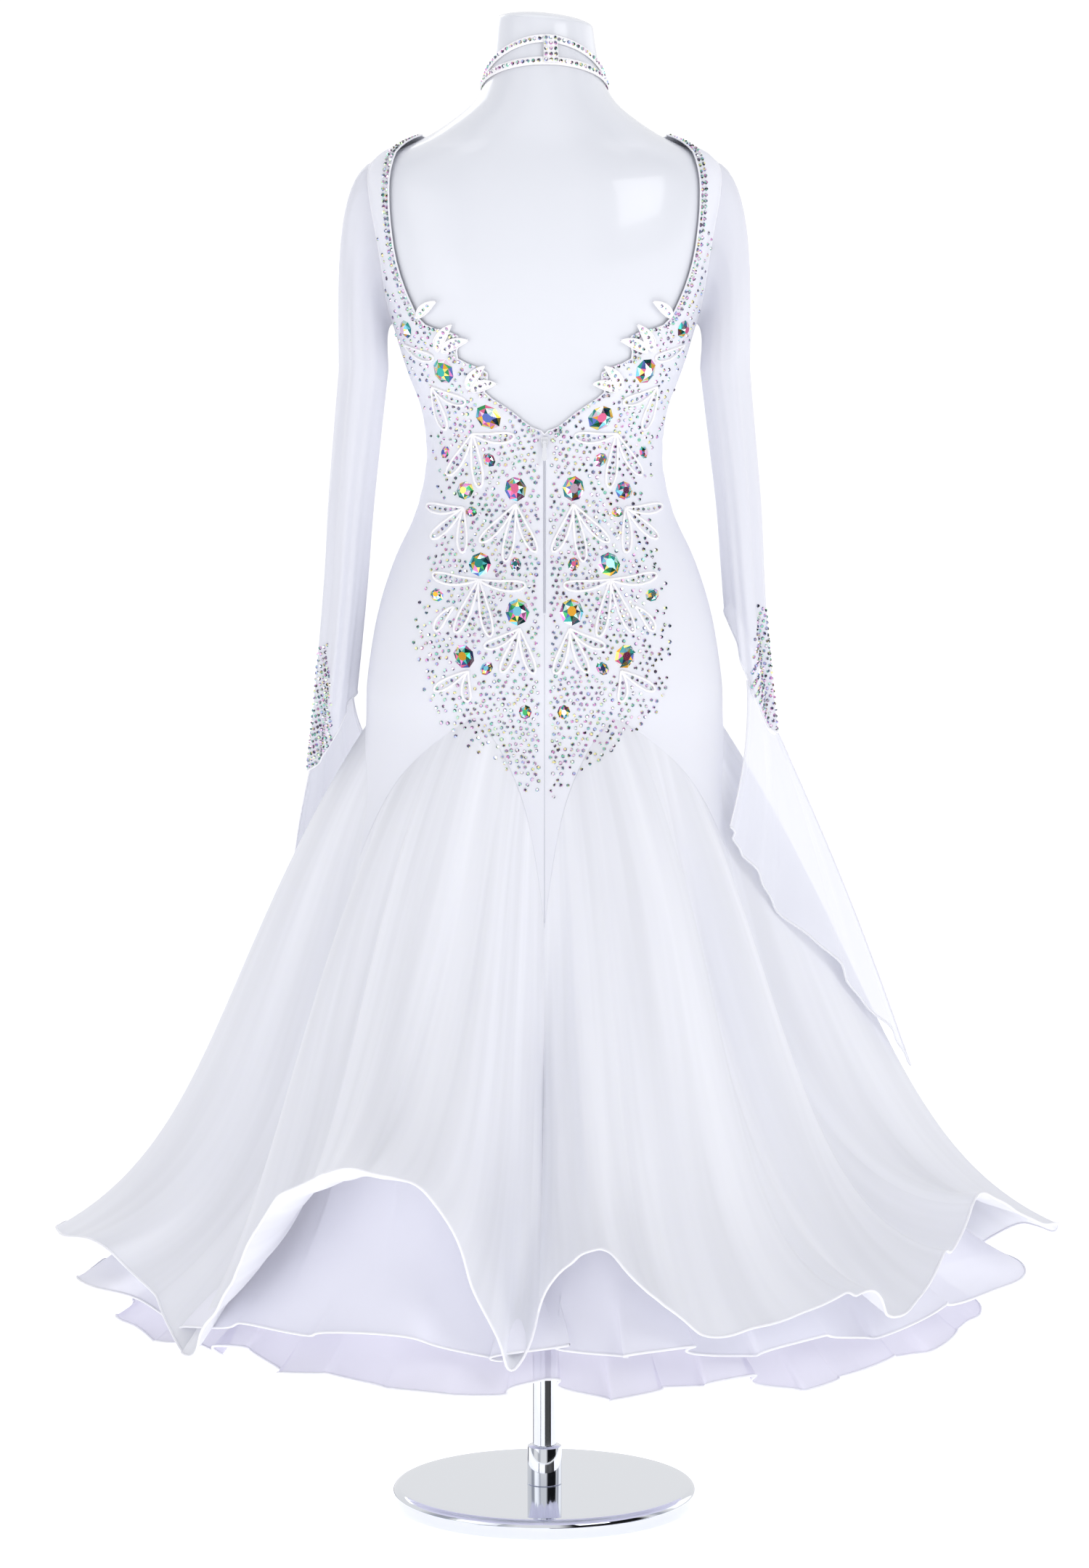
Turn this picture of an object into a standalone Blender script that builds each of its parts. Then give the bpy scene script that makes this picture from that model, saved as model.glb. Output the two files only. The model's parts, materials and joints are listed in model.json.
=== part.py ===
"""A ballroom dance dress on a dress form, as solids: metres, +Z up, the dress faces -Y.

Run it with blender --background --python part.py, or from Blender's text editor.
The origin is the middle of the round base plate's underside, on the floor.
Azimuth is measured about the pole: 0 is the centre back (+Y), 90 the wearer's left (+X) and
180 the centre front.
"""

import math

import bmesh
import bpy
from mathutils import Vector
from mathutils.bvhtree import BVHTree

# Stand
BASE_RADIUS = 0.164
BASE_THICKNESS = 0.020
BASE_EDGE_ROUND = 0.008
SOCKET_RADIUS = 0.0185
SOCKET_TOP = 0.062
POLE_RADIUS = 0.0127
SEAT_GAP = 0.0004
ROUND_STEPS = 40
POLE_STEPS = 20

# Cloth
WALL = 0.0012
SEAM_GAP = 0.0005
SKIRT_SEAM_GAP = 0.0016
FLOUNCE_SEAM_GAP = 0.0016

# Sections of the form: height, half width, reach to the back and to the front, squareness of the outline
FORM_BOTTOM = 0.751
FORM_COLUMNS = 30
FORM_SECTIONS = (
    # height, half_width, back, front, squareness
    (0.751, 0.166, 0.100, 0.096, 2.3),
    (0.800, 0.181, 0.114, 0.105, 2.3),
    (0.840, 0.186, 0.118, 0.107, 2.3),
    (0.880, 0.185, 0.119, 0.107, 2.3),
    (0.914, 0.181, 0.117, 0.106, 2.25),
    (0.950, 0.175, 0.112, 0.104, 2.2),
    (0.985, 0.166, 0.103, 0.101, 2.2),
    (1.021, 0.153, 0.094, 0.097, 2.15),
    (1.059, 0.1355, 0.086, 0.093, 2.1),
    (1.098, 0.1250, 0.081, 0.090, 2.1),
    (1.131, 0.1220, 0.080, 0.091, 2.1),
    (1.175, 0.1275, 0.084, 0.099, 2.15),
    (1.213, 0.1410, 0.091, 0.114, 2.2),
    (1.253, 0.1530, 0.098, 0.126, 2.25),
    (1.291, 0.1630, 0.103, 0.121, 2.3),
    (1.331, 0.1710, 0.105, 0.104, 2.3),
    (1.371, 0.1790, 0.103, 0.087, 2.25),
    (1.401, 0.1830, 0.098, 0.074, 2.2),
    (1.421, 0.1810, 0.092, 0.065, 2.15),
    (1.436, 0.1700, 0.086, 0.058, 2.1),
    (1.446, 0.1510, 0.082, 0.053, 2.05),
    (1.456, 0.1280, 0.079, 0.049, 2.0),
    (1.472, 0.1020, 0.075, 0.046, 2.0),
    (1.491, 0.0780, 0.070, 0.044, 2.0),
    (1.508, 0.0660, 0.065, 0.043, 2.0),
    (1.525, 0.0590, 0.060, 0.043, 2.0),
    (1.552, 0.0540, 0.052, 0.046, 2.0),
    (1.576, 0.0510, 0.047, 0.049, 2.0),
)
FORM_SKIPPED = (0.840, 0.914)
NECK_TOP = 1.576
NECK_DOME = 0.011
NECK_SLANT = 0.09

# The gores below the hip hang clear of the form
SKIRT_SECTIONS = (
    # height, half_width, back, front, squareness
    (0.600, 0.246, 0.180, 0.165, 2.0),
    (0.660, 0.226, 0.160, 0.145, 2.05),
    (0.720, 0.208, 0.142, 0.128, 2.15),
    (0.780, 0.193, 0.126, 0.113, 2.25),
    (0.840, 0.186, 0.118, 0.107, 2.3),
)

# Back panel from the shoulder seam down: its inner edge is the neckline, its outer edge the armhole
BACK_RUNGS = (
    # inner_azimuth, inner_height, outer_azimuth, outer_height
    (90.0, 1.4565, 90.0, 1.4310),
    (80.0, 1.4470, 86.5, 1.4250),
    (73.5, 1.4290, 83.5, 1.4070),
    (71.5, 1.4000, 82.0, 1.3800),
    (71.0, 1.3700, 81.5, 1.3530),
    (70.0, 1.3260, 82.5, 1.3180),
    (66.0, 1.2850, 86.0, 1.2830),
    (61.0, 1.2600, 90.0, 1.2620),
    (47.0, 1.2480, 90.0, 1.2440),
    (49.0, 1.2250, 90.0, 1.2260),
    (35.0, 1.2100, 90.0, 1.2090),
    (38.0, 1.1900, 90.0, 1.1930),
    (22.0, 1.1690, 90.0, 1.1750),
    (10.0, 1.1540, 90.0, 1.1580),
    (0.0, 1.1460, 90.0, 1.1410),
    (0.0, 1.1150, 90.0, 1.1100),
)
# Front panel the same way: 180 is the centre front
FRONT_RUNGS = (
    # inner_azimuth, inner_height, outer_azimuth, outer_height
    (90.0, 1.4565, 90.0, 1.4310),
    (100.0, 1.4535, 93.5, 1.4290),
    (112.0, 1.4460, 97.0, 1.4240),
    (130.0, 1.4290, 101.5, 1.4040),
    (146.0, 1.4110, 103.5, 1.3780),
    (163.0, 1.3960, 103.5, 1.3480),
    (180.0, 1.3900, 101.5, 1.3140),
    (180.0, 1.3520, 96.0, 1.2810),
    (180.0, 1.3150, 90.0, 1.2620),
    (180.0, 1.2780, 90.0, 1.2350),
    (180.0, 1.2400, 90.0, 1.2060),
    (180.0, 1.2000, 90.0, 1.1750),
    (180.0, 1.1600, 90.0, 1.1410),
    (180.0, 1.1200, 90.0, 1.1100),
)
PANEL_ROWS = (0.085, 0.18, 0.28, 0.385, 0.495, 0.61, 0.735, 0.865, 1.0)
# How far the cloth stands off the form, behind and before
EASE = (
    # height, back, front
    (0.60, 0.0034, 0.0030),
    (0.90, 0.0034, 0.0030),
    (1.00, 0.0030, 0.0026),
    (1.10, 0.0020, 0.0026),
    (1.18, 0.0020, 0.0032),
    (1.25, 0.0022, 0.0050),
    (1.30, 0.0023, 0.0048),
    (1.36, 0.0023, 0.0040),
    (1.40, 0.0026, 0.0050),
    (1.43, 0.0034, 0.0066),
    (1.46, 0.0030, 0.0058),
)

# Godets: each is sewn into an arch from one azimuth to the next, with its peak between
GODETS = (
    # name, from_azimuth, from_height, peak_azimuth, peak_height, to_azimuth, to_height
    ("godet_back_left", 0.0, 0.640, 33.0, 0.852, 70.0, 0.705),
    ("godet_side_left", 70.0, 0.705, 90.0, 0.838, 110.0, 0.705),
    ("godet_front_left", 110.0, 0.705, 147.0, 0.852, 180.0, 0.640),
    ("godet_front_right", 180.0, 0.640, 213.0, 0.852, 250.0, 0.705),
    ("godet_side_right", 250.0, 0.705, 270.0, 0.838, 290.0, 0.705),
    ("godet_back_right", 290.0, 0.705, 327.0, 0.852, 360.0, 0.640),
)
ARCH_SHARE = 0.62
ARCH_ROUND = 1.4
ARCH_POINT = 8.0

# Hem of the top skirt: each line falls from its place on the arch to this place on the hem
HEM_TOP = (
    # seam_azimuth, hem_azimuth, radius, height, end_angle, start_angle
    (0.0, 1.0, 0.372, 0.285, 50.0, 14.0),
    (4.0, 4.5, 0.380, 0.226, 42.0, 18.0),
    (10.0, 9.5, 0.415, 0.320, 72.0, 26.0),
    (16.0, 14.5, 0.458, 0.415, 102.0, 31.0),
    (24.0, 22.0, 0.490, 0.442, 118.0, 27.0),
    (33.0, 31.0, 0.487, 0.410, 112.0, 33.0),
    (42.0, 40.0, 0.466, 0.335, 84.0, 36.0),
    (50.0, 48.0, 0.450, 0.262, 62.0, 36.0),
    (58.0, 55.0, 0.442, 0.217, 42.0, 32.0),
    (64.0, 61.5, 0.436, 0.224, 42.0, 22.0),
    (70.0, 68.0, 0.436, 0.262, 55.0, 13.0),
    (76.0, 75.0, 0.462, 0.290, 74.0, 24.0),
    (82.0, 82.0, 0.502, 0.300, 68.0, 31.0),
    (90.0, 90.0, 0.524, 0.300, 62.0, 33.0),
    (98.0, 98.0, 0.502, 0.284, 62.0, 31.0),
    (104.0, 105.0, 0.468, 0.254, 58.0, 23.0),
    (110.0, 112.0, 0.446, 0.230, 45.0, 13.0),
    (118.0, 120.0, 0.447, 0.232, 48.0, 24.0),
    (128.0, 130.0, 0.458, 0.285, 78.0, 32.0),
    (140.0, 141.0, 0.480, 0.345, 100.0, 34.0),
    (150.0, 150.5, 0.472, 0.345, 100.0, 33.0),
    (160.0, 160.0, 0.440, 0.285, 76.0, 29.0),
    (170.0, 169.5, 0.400, 0.232, 46.0, 20.0),
    (180.0, 180.0, 0.380, 0.224, 40.0, 12.0),
    (190.0, 190.5, 0.400, 0.232, 46.0, 20.0),
    (200.0, 200.0, 0.440, 0.285, 76.0, 29.0),
    (210.0, 209.5, 0.472, 0.345, 100.0, 33.0),
    (220.0, 219.0, 0.480, 0.345, 100.0, 34.0),
    (232.0, 230.0, 0.458, 0.285, 78.0, 32.0),
    (242.0, 240.0, 0.447, 0.232, 48.0, 24.0),
    (250.0, 248.0, 0.453, 0.232, 46.0, 13.0),
    (256.0, 255.0, 0.482, 0.255, 58.0, 23.0),
    (262.0, 262.0, 0.525, 0.288, 62.0, 31.0),
    (270.0, 270.0, 0.550, 0.295, 64.0, 33.0),
    (278.0, 280.0, 0.520, 0.328, 74.0, 31.0),
    (284.0, 286.5, 0.492, 0.352, 92.0, 24.0),
    (290.0, 293.0, 0.478, 0.365, 98.0, 13.0),
    (296.0, 299.5, 0.474, 0.325, 88.0, 25.0),
    (302.0, 306.0, 0.470, 0.280, 66.0, 28.0),
    (310.0, 313.5, 0.478, 0.278, 66.0, 17.0),
    (318.0, 321.0, 0.492, 0.312, 88.0, 33.0),
    (327.0, 330.0, 0.468, 0.282, 68.0, 36.0),
    (336.0, 338.5, 0.440, 0.270, 58.0, 34.0),
    (344.0, 346.0, 0.432, 0.312, 78.0, 32.0),
    (350.0, 351.5, 0.418, 0.348, 90.0, 26.0),
    (356.0, 357.0, 0.392, 0.342, 78.0, 18.0),
    (360.0, 361.0, 0.372, 0.285, 50.0, 14.0),
)
SKIRT_ROWS = (0.0, 0.11, 0.235, 0.37, 0.51, 0.65, 0.775, 0.87, 0.945, 1.0)
SKIRT_START_LEAD = 0.46
SKIRT_END_LEAD = 0.30

# Under flounces: where on the top skirt each is sewn, and its hem
FLOUNCE_MIDDLE = (
    # azimuth, radius, height, end_angle
    (0.0, 0.352, 0.238, 40.0),
    (12.0, 0.385, 0.246, 48.0),
    (27.0, 0.420, 0.264, 60.0),
    (43.0, 0.425, 0.258, 56.0),
    (58.0, 0.408, 0.236, 44.0),
    (70.0, 0.434, 0.238, 46.0),
    (90.0, 0.500, 0.254, 64.0),
    (110.0, 0.424, 0.234, 44.0),
    (130.0, 0.425, 0.248, 55.0),
    (150.0, 0.418, 0.252, 57.0),
    (170.0, 0.372, 0.236, 44.0),
    (180.0, 0.355, 0.233, 40.0),
    (190.0, 0.372, 0.236, 44.0),
    (210.0, 0.418, 0.252, 57.0),
    (230.0, 0.425, 0.248, 55.0),
    (250.0, 0.428, 0.234, 44.0),
    (270.0, 0.502, 0.254, 64.0),
    (290.0, 0.452, 0.246, 54.0),
    (304.0, 0.425, 0.240, 48.0),
    (318.0, 0.436, 0.250, 54.0),
    (333.0, 0.415, 0.244, 50.0),
    (348.0, 0.390, 0.248, 50.0),
    (360.0, 0.352, 0.238, 40.0),
)
FLOUNCE_LOWEST = (
    # azimuth, radius, height, end_angle
    (0.0, 0.345, 0.208, 40.0),
    (14.0, 0.385, 0.200, 50.0),
    (28.0, 0.400, 0.212, 52.0),
    (42.0, 0.398, 0.209, 54.0),
    (56.0, 0.392, 0.218, 48.0),
    (72.0, 0.418, 0.203, 50.0),
    (90.0, 0.456, 0.208, 60.0),
    (108.0, 0.418, 0.204, 48.0),
    (126.0, 0.402, 0.213, 46.0),
    (144.0, 0.408, 0.201, 52.0),
    (162.0, 0.372, 0.212, 44.0),
    (180.0, 0.345, 0.203, 42.0),
    (198.0, 0.372, 0.212, 44.0),
    (216.0, 0.408, 0.201, 52.0),
    (234.0, 0.402, 0.213, 46.0),
    (252.0, 0.420, 0.204, 48.0),
    (270.0, 0.460, 0.208, 60.0),
    (288.0, 0.430, 0.203, 50.0),
    (304.0, 0.415, 0.204, 48.0),
    (318.0, 0.424, 0.200, 54.0),
    (332.0, 0.395, 0.213, 50.0),
    (346.0, 0.385, 0.200, 50.0),
    (360.0, 0.345, 0.208, 40.0),
)
FLOUNCE_QUARTERS = (("front_right", 180.0), ("back_right", 270.0), ("back_left", 0.0), ("front_left", 90.0))
FLOUNCE_ROWS = (0.0, 0.26, 0.53, 0.79, 1.0)
MIDDLE_SEWN_AT = 0.44
LOWEST_SEWN_AT = 0.26
FLOUNCE_TURN_IN = 13.0
MIDDLE_INSET = 0.0016
LOWEST_INSET = 0.0020

# Sleeves: the armhole, then level sections down to the slanted cuff
SLEEVE_COLUMNS = 16
SLEEVE_CAP_ROWS = 4
SLEEVE_TOP = 1.215
SLEEVE_SECTIONS = (
    # height, centre_x, centre_y, half_width, half_depth
    (0.760, 0.2370, -0.010, 0.0195, 0.040),
    (0.837, 0.2270, -0.010, 0.0200, 0.041),
    (0.914, 0.2190, -0.009, 0.0205, 0.043),
    (0.991, 0.2120, -0.008, 0.0215, 0.046),
    (1.068, 0.2060, -0.006, 0.0230, 0.050),
    (1.145, 0.1980, -0.006, 0.0245, 0.054),
    (1.215, 0.1905, -0.008, 0.0260, 0.056),
)
SLEEVE_ROWS = 7
ARMHOLE_INSET = 0.0034
ARMHOLE_AZIMUTH = 92.0
ARMHOLE_HEIGHT = 1.346
ARMHOLE_RADIUS = 0.18
SLEEVE_FOLDS = 5
SLEEVE_FOLD_DEPTH = 0.0016
CUFFS = (
    # side, mean_height, swing, tip_angle, float_drop, float_bow, float_forward, float_turn
    (1.0, 0.838, 0.046, 30.0, 0.0030, 0.014, 26.0, 2),
    (-1.0, 0.902, 0.070, 30.0, 0.0046, 0.000, 0.0, 0),
)

# Floats: a chiffon fall from each cuff
FLOAT_ROWS = 9
FLOAT_LINES = (
    # sleeve_column, low_azimuth, low_height, lift
    (5, 66.0, 0.738, 0.012),
    (4, 70.5, 0.706, 0.018),
    (3, 75.0, 0.652, 0.012),
    (2, 80.0, 0.590, 0.019),
    (1, 85.0, 0.528, 0.012),
    (0, 90.0, 0.474, 0.016),
)

# Choker: two strips of one band, tilted, that part at the centre back
CHOKER_COLUMNS = 30
CHOKER_WIDTH = 0.0085
CHOKER_FRONT = 1.497
CHOKER_BACK_LOW = 1.532
CHOKER_BACK_HIGH = 1.5555
CHOKER_CLEARANCE = 0.0014
CHOKER_WALL = 0.0016
TAB_REACH = 0.003
TAB_AZIMUTHS = (-14.0, -9.0, -4.0, 1.0)

# Large stones of each back panel
STONES = (
    # azimuth, height, radius, stretch, tilt
    (72.0, 1.2560, 0.0100, 1.0, 0.0),
    (57.0, 1.2120, 0.0120, 1.15, 20.0),
    (37.0, 1.1640, 0.0120, 1.25, 50.0),
    (20.0, 1.0900, 0.0115, 1.2, 10.0),
    (51.0, 1.0880, 0.0100, 1.0, 0.0),
    (36.0, 1.0120, 0.0120, 1.1, 0.0),
    (14.0, 0.9630, 0.0125, 1.15, 0.0),
    (37.0, 0.9170, 0.0110, 1.2, 30.0),
)
STONE_SUNK = 0.0006
STONE_RINGS = ((1.0, -STONE_SUNK), (1.0, 0.0018), (0.62, 0.0048))
STONE_SIDES = 6

# Zip slider and its pull tab
SLIDER_HEIGHT = 1.1375
SLIDER_WIDTH = 0.0080
SLIDER_LENGTH = 0.0105
SLIDER_THICKNESS = 0.0024
LUG_WIDTH = 0.0014
LUG_GAP = 0.0046
HINGE_RADIUS = 0.0006
HINGE_STAND_OFF = 0.0021
EYE_HOLE = 0.0010
EYE_RADIUS = 0.0018
PULL_LENGTH = 0.0200
PULL_WIDTH = 0.0056
PULL_THICKNESS = 0.0011


def clear_file():
    """Remove every object of the opened file."""
    for item in list(bpy.data.objects):
        bpy.data.objects.remove(item, do_unlink=True)


def new_collection(name):
    """Make a collection in the scene and return it."""
    found = bpy.data.collections.new(name)
    bpy.context.scene.collection.children.link(found)
    return found


def new_material(name, colour, roughness, metallic):
    """Make one Principled material and return it."""
    made = bpy.data.materials.new(name)
    made.use_nodes = True
    shader = made.node_tree.nodes["Principled BSDF"]
    shader.inputs["Base Color"].default_value = (colour[0], colour[1], colour[2], 1.0)
    shader.inputs["Roughness"].default_value = roughness
    shader.inputs["Metallic"].default_value = metallic
    made.diffuse_color = (colour[0], colour[1], colour[2], 1.0)
    return made


def along(table, position, column):
    """Read one column of a table smoothly at a position in its rising first column."""
    if position <= table[0][0]:
        return table[0][column]
    if position >= table[-1][0]:
        return table[-1][column]
    index = 0
    while table[index + 1][0] < position:
        index += 1
    start = table[index]
    end = table[index + 1]
    before = table[max(index - 1, 0)]
    after = table[min(index + 2, len(table) - 1)]
    step = end[0] - start[0]
    slope_start = (end[column] - before[column]) / (end[0] - before[0])
    slope_end = (after[column] - start[column]) / (after[0] - start[0])
    share = (position - start[0]) / step
    square = share * share
    cube = square * share
    value = (2.0 * cube - 3.0 * square + 1.0) * start[column]
    value += (cube - 2.0 * square + share) * step * slope_start
    value += (3.0 * square - 2.0 * cube) * end[column]
    value += (cube - square) * step * slope_end
    return value


def blend(first, second, share):
    """Return the value that lies a share of the way from the first to the second."""
    return first + (second - first) * share


CLOTH_SECTIONS = SKIRT_SECTIONS + FORM_SECTIONS[3:]


def section_radius(table, azimuth, height):
    """Distance of a section's outline from the pole axis."""
    angle = math.radians(azimuth)
    across = abs(math.sin(angle))
    fore = math.cos(angle)
    half_width = along(table, height, 1)
    reach = along(table, height, 2) if fore > 0.0 else along(table, height, 3)
    power = along(table, height, 4)
    total = (across / half_width) ** power + (abs(fore) / reach) ** power
    return total ** (-1.0 / power)


def polar(azimuth, radius, height):
    """Turn azimuth, radius and height into a point."""
    angle = math.radians(azimuth)
    return Vector((radius * math.sin(angle), radius * math.cos(angle), height))


def body_point(table, azimuth, height, lift):
    """Point over a section outline, lifted along the outline's own normal."""
    small_turn = 0.6
    small_rise = 0.0015
    here = polar(azimuth, section_radius(table, azimuth, height), height)
    turned = polar(azimuth + small_turn, section_radius(table, azimuth + small_turn, height), height)
    turned_back = polar(azimuth - small_turn, section_radius(table, azimuth - small_turn, height), height)
    raised = polar(azimuth, section_radius(table, azimuth, height + small_rise), height + small_rise)
    lowered = polar(azimuth, section_radius(table, azimuth, height - small_rise), height - small_rise)
    outward = (raised - lowered).cross(turned - turned_back)
    outward.normalize()
    if outward.dot(Vector((here.x, here.y, 0.0))) < 0.0:
        outward = -outward
    return here + outward * lift


def ease(azimuth, height):
    """How far the cloth stands off the form at a place."""
    fore = 0.5 + 0.5 * math.cos(math.radians(azimuth))
    return blend(along(EASE, height, 2), along(EASE, height, 1), fore)


def cloth_point(azimuth, height, extra):
    """Point of the cloth's inner face over the form, with some extra lift."""
    return body_point(CLOTH_SECTIONS, azimuth, height, ease(azimuth, height) + extra)


def link_mesh(name, mesh, collection, material):
    """Make an object of a mesh in a collection with its material."""
    item = bpy.data.objects.new(name, mesh)
    collection.objects.link(item)
    mesh.materials.append(material)
    return item


def cloth(name, blocks, collection, material, closed=False, wall=WALL):
    """Make a cloth piece from blocks of rows of inner points, with a wall added outward."""
    rows = blocks[0]
    round_count = len(rows[0])
    work = bmesh.new()
    for block in blocks:
        width = len(block[0])
        made = bmesh.ops.create_grid(work, x_segments=width - 1, y_segments=len(block) - 1, size=1.0)
        for place, vertex in enumerate(made["verts"]):
            vertex.co = block[place // width][place % width]
    if closed or len(blocks) > 1:
        bmesh.ops.remove_doubles(work, verts=list(work.verts), dist=0.00001)
        bmesh.ops.recalc_face_normals(work, faces=list(work.faces))
    work.normal_update()
    flow = 0.0
    for face in work.faces:
        centre = face.calc_center_median()
        away = Vector((centre.x, centre.y, 0.0))
        if closed:
            middle = sum((point for point in rows[0]), Vector()) / round_count
            away = centre - Vector((middle.x, middle.y, centre.z))
        flow += face.normal.dot(away)
    if flow < 0.0:
        bmesh.ops.reverse_faces(work, faces=list(work.faces))
    mesh = bpy.data.meshes.new(name)
    work.to_mesh(mesh)
    work.free()
    item = link_mesh(name, mesh, collection, material)
    thick = item.modifiers.new("wall", "SOLIDIFY")
    thick.thickness = wall
    thick.offset = 1.0
    thick.use_even_offset = True
    thick.use_quality_normals = True
    thick.use_rim = True
    return item


def turned_piece(name, profile, steps, collection, material, flip):
    """Make a solid of revolution about the pole axis from a profile of radius and height."""
    work = bmesh.new()
    last = None
    for radius, height in profile:
        vertex = work.verts.new((radius, 0.0, height))
        if last is not None:
            work.edges.new((last, vertex))
        last = vertex
    mesh = bpy.data.meshes.new(name)
    work.to_mesh(mesh)
    work.free()
    item = link_mesh(name, mesh, collection, material)
    spin = item.modifiers.new("turn", "SCREW")
    spin.axis = "Z"
    spin.angle = math.radians(360.0)
    spin.steps = steps
    spin.render_steps = steps
    spin.use_merge_vertices = True
    spin.merge_threshold = 0.00001
    spin.use_normal_flip = flip
    return item


def arch_height(azimuth):
    """Height of the seam where gores end and godets begin."""
    azimuth = azimuth % 360.0
    for row in GODETS:
        if azimuth <= row[5]:
            break
    if azimuth <= row[3]:
        share = (row[3] - azimuth) / (row[3] - row[1])
        low = row[2]
    else:
        share = (azimuth - row[3]) / (row[5] - row[3])
        low = row[6]
    drop = ARCH_SHARE * share ** ARCH_ROUND + (1.0 - ARCH_SHARE) * share ** ARCH_POINT
    return row[4] - (row[4] - low) * drop


def upright(azimuth, gap):
    """Upright distance that keeps a gap square to the arch."""
    here = arch_height(azimuth)
    steepest = 0.0
    for turn in (-4.0, 4.0):
        run = math.radians(abs(turn)) * 0.17
        steepest = max(steepest, abs(arch_height(azimuth + turn) - here) / run)
    return gap * math.sqrt(1.0 + steepest * steepest)


def skirt_line(azimuth):
    """Control points, in radius and height, of the line of the top skirt that starts at an azimuth."""
    top = arch_height(azimuth)
    start = cloth_point(azimuth, top, 0.0)
    start_radius = math.hypot(start.x, start.y)
    radius = along(HEM_TOP, azimuth, 2)
    height = along(HEM_TOP, azimuth, 3)
    end_angle = math.radians(along(HEM_TOP, azimuth, 4))
    start_angle = math.radians(along(HEM_TOP, azimuth, 5))
    span = math.hypot(radius - start_radius, top - height)
    lead = span * SKIRT_START_LEAD
    first = (start_radius, top)
    second = (start_radius + lead * math.sin(start_angle), top - lead * math.cos(start_angle))
    lead = span * SKIRT_END_LEAD
    third = (radius - lead * math.sin(end_angle), height + lead * math.cos(end_angle))
    return first, second, third, (radius, height)


def curve_at(points, share):
    """Point of a four-point curve in radius and height."""
    rest = 1.0 - share
    weights = (rest ** 3, 3.0 * rest * rest * share, 3.0 * rest * share * share, share ** 3)
    radius = sum(weight * point[0] for weight, point in zip(weights, points))
    height = sum(weight * point[1] for weight, point in zip(weights, points))
    return radius, height


def skirt_azimuth(azimuth, share):
    """Azimuth of a line of the skirt, a share of the way down to the hem."""
    start = cloth_point(azimuth, arch_height(azimuth), 0.0)
    turn = math.degrees(math.atan2(start.x, start.y)) - azimuth
    begin = azimuth + (turn + 180.0) % 360.0 - 180.0
    return blend(begin, along(HEM_TOP, azimuth, 1), share)


def skirt_point(azimuth, share, inset):
    """Point of the top skirt; inset moves it square to the line, towards the pole."""
    points = skirt_line(azimuth)
    radius, height = curve_at(points, share)
    near = curve_at(points, max(share - 0.01, 0.0))
    far = curve_at(points, min(share + 0.01, 1.0))
    run = far[0] - near[0]
    drop = near[1] - far[1]
    length = math.hypot(run, drop)
    radius -= inset * drop / length
    height -= inset * run / length
    return polar(skirt_azimuth(azimuth, share), radius, height)


def skirt_radius_at(azimuth, height):
    """Distance of the top skirt from the pole axis at a height, for a line's azimuth."""
    points = skirt_line(azimuth)
    low = 0.0
    high = 0.85
    for _ in range(24):
        share = 0.5 * (low + high)
        if curve_at(points, share)[1] > height:
            low = share
        else:
            high = share
    return curve_at(points, 0.5 * (low + high))[0]


def turned_towards(point, target, gap):
    """Turn a point about the pole axis towards another point, by a gap."""
    side = 1.0 if point.x * target.y - point.y * target.x > 0.0 else -1.0
    radius = math.hypot(point.x, point.y)
    angle = side * gap / radius
    turned_x = point.x * math.cos(angle) - point.y * math.sin(angle)
    turned_y = point.x * math.sin(angle) + point.y * math.cos(angle)
    return Vector((turned_x, turned_y, point.z))


def inset_columns(rows, gap_first, gap_last):
    """Turn the first and last points of each row in towards the piece, for the seam gap."""
    for row in rows:
        row[0] = turned_towards(row[0], row[1], gap_first)
        row[-1] = turned_towards(row[-1], row[-2], gap_last)
    return rows


def bodice_rows(rungs, low_azimuth, high_azimuth, side):
    """Inner points of a bodice panel that runs from the shoulder seam to its godet arches."""
    between = (min(low_azimuth, high_azimuth), max(low_azimuth, high_azimuth))
    knots = [row[0] for row in HEM_TOP if between[0] <= row[0] <= between[1]]
    steps = [(knot - low_azimuth) / (high_azimuth - low_azimuth) for knot in knots]
    steps.sort()
    rows = []
    for inner_azimuth, inner_height, outer_azimuth, outer_height in rungs:
        row = []
        for share in steps:
            azimuth = blend(inner_azimuth, outer_azimuth, share)
            height = blend(inner_height, outer_height, share)
            row.append(cloth_point(azimuth * side, height, 0.0))
        rows.append(row)
    last = rungs[-1]
    for step in PANEL_ROWS:
        row = []
        for share in steps:
            azimuth = blend(low_azimuth, high_azimuth, share)
            top = blend(last[1], last[3], share)
            low = arch_height(azimuth) + upright(azimuth, SKIRT_SEAM_GAP * 0.5)
            row.append(cloth_point(azimuth * side, blend(top, low, step), 0.0))
        rows.append(row)
    return rows


def lower_top_edge(rows, gap):
    """Draw the first row of points towards the second by a gap."""
    for place in range(len(rows[0])):
        start = rows[0][place]
        nearer = rows[1][place]
        share = gap / max((nearer - start).length, gap * 4.0)
        rows[0][place] = start.lerp(nearer, share)
    return rows


def build_bodice(collection, cutters, materials):
    """Build the two back panels, and return the rows of the front panel's halves."""
    for name, side in (("back_left", 1.0), ("back_right", -1.0)):
        rows = bodice_rows(BACK_RUNGS, 0.0, 90.0, side)
        rows = inset_columns(rows, SEAM_GAP * 0.5, SEAM_GAP * 0.5)
        rows = lower_top_edge(rows, SEAM_GAP * 0.5)
        panel = cloth(name, [rows], collection, materials["crepe"])
        raise_stones(panel, side, cutters, materials["stone"])
    left = inset_columns(bodice_rows(FRONT_RUNGS, 180.0, 90.0, 1.0), 0.0, SEAM_GAP * 0.5)
    right = inset_columns(bodice_rows(FRONT_RUNGS, 180.0, 90.0, -1.0), 0.0, SEAM_GAP * 0.5)
    left = lower_top_edge(left, SEAM_GAP * 0.5)
    right = lower_top_edge(right, SEAM_GAP * 0.5)
    return left, right


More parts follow.
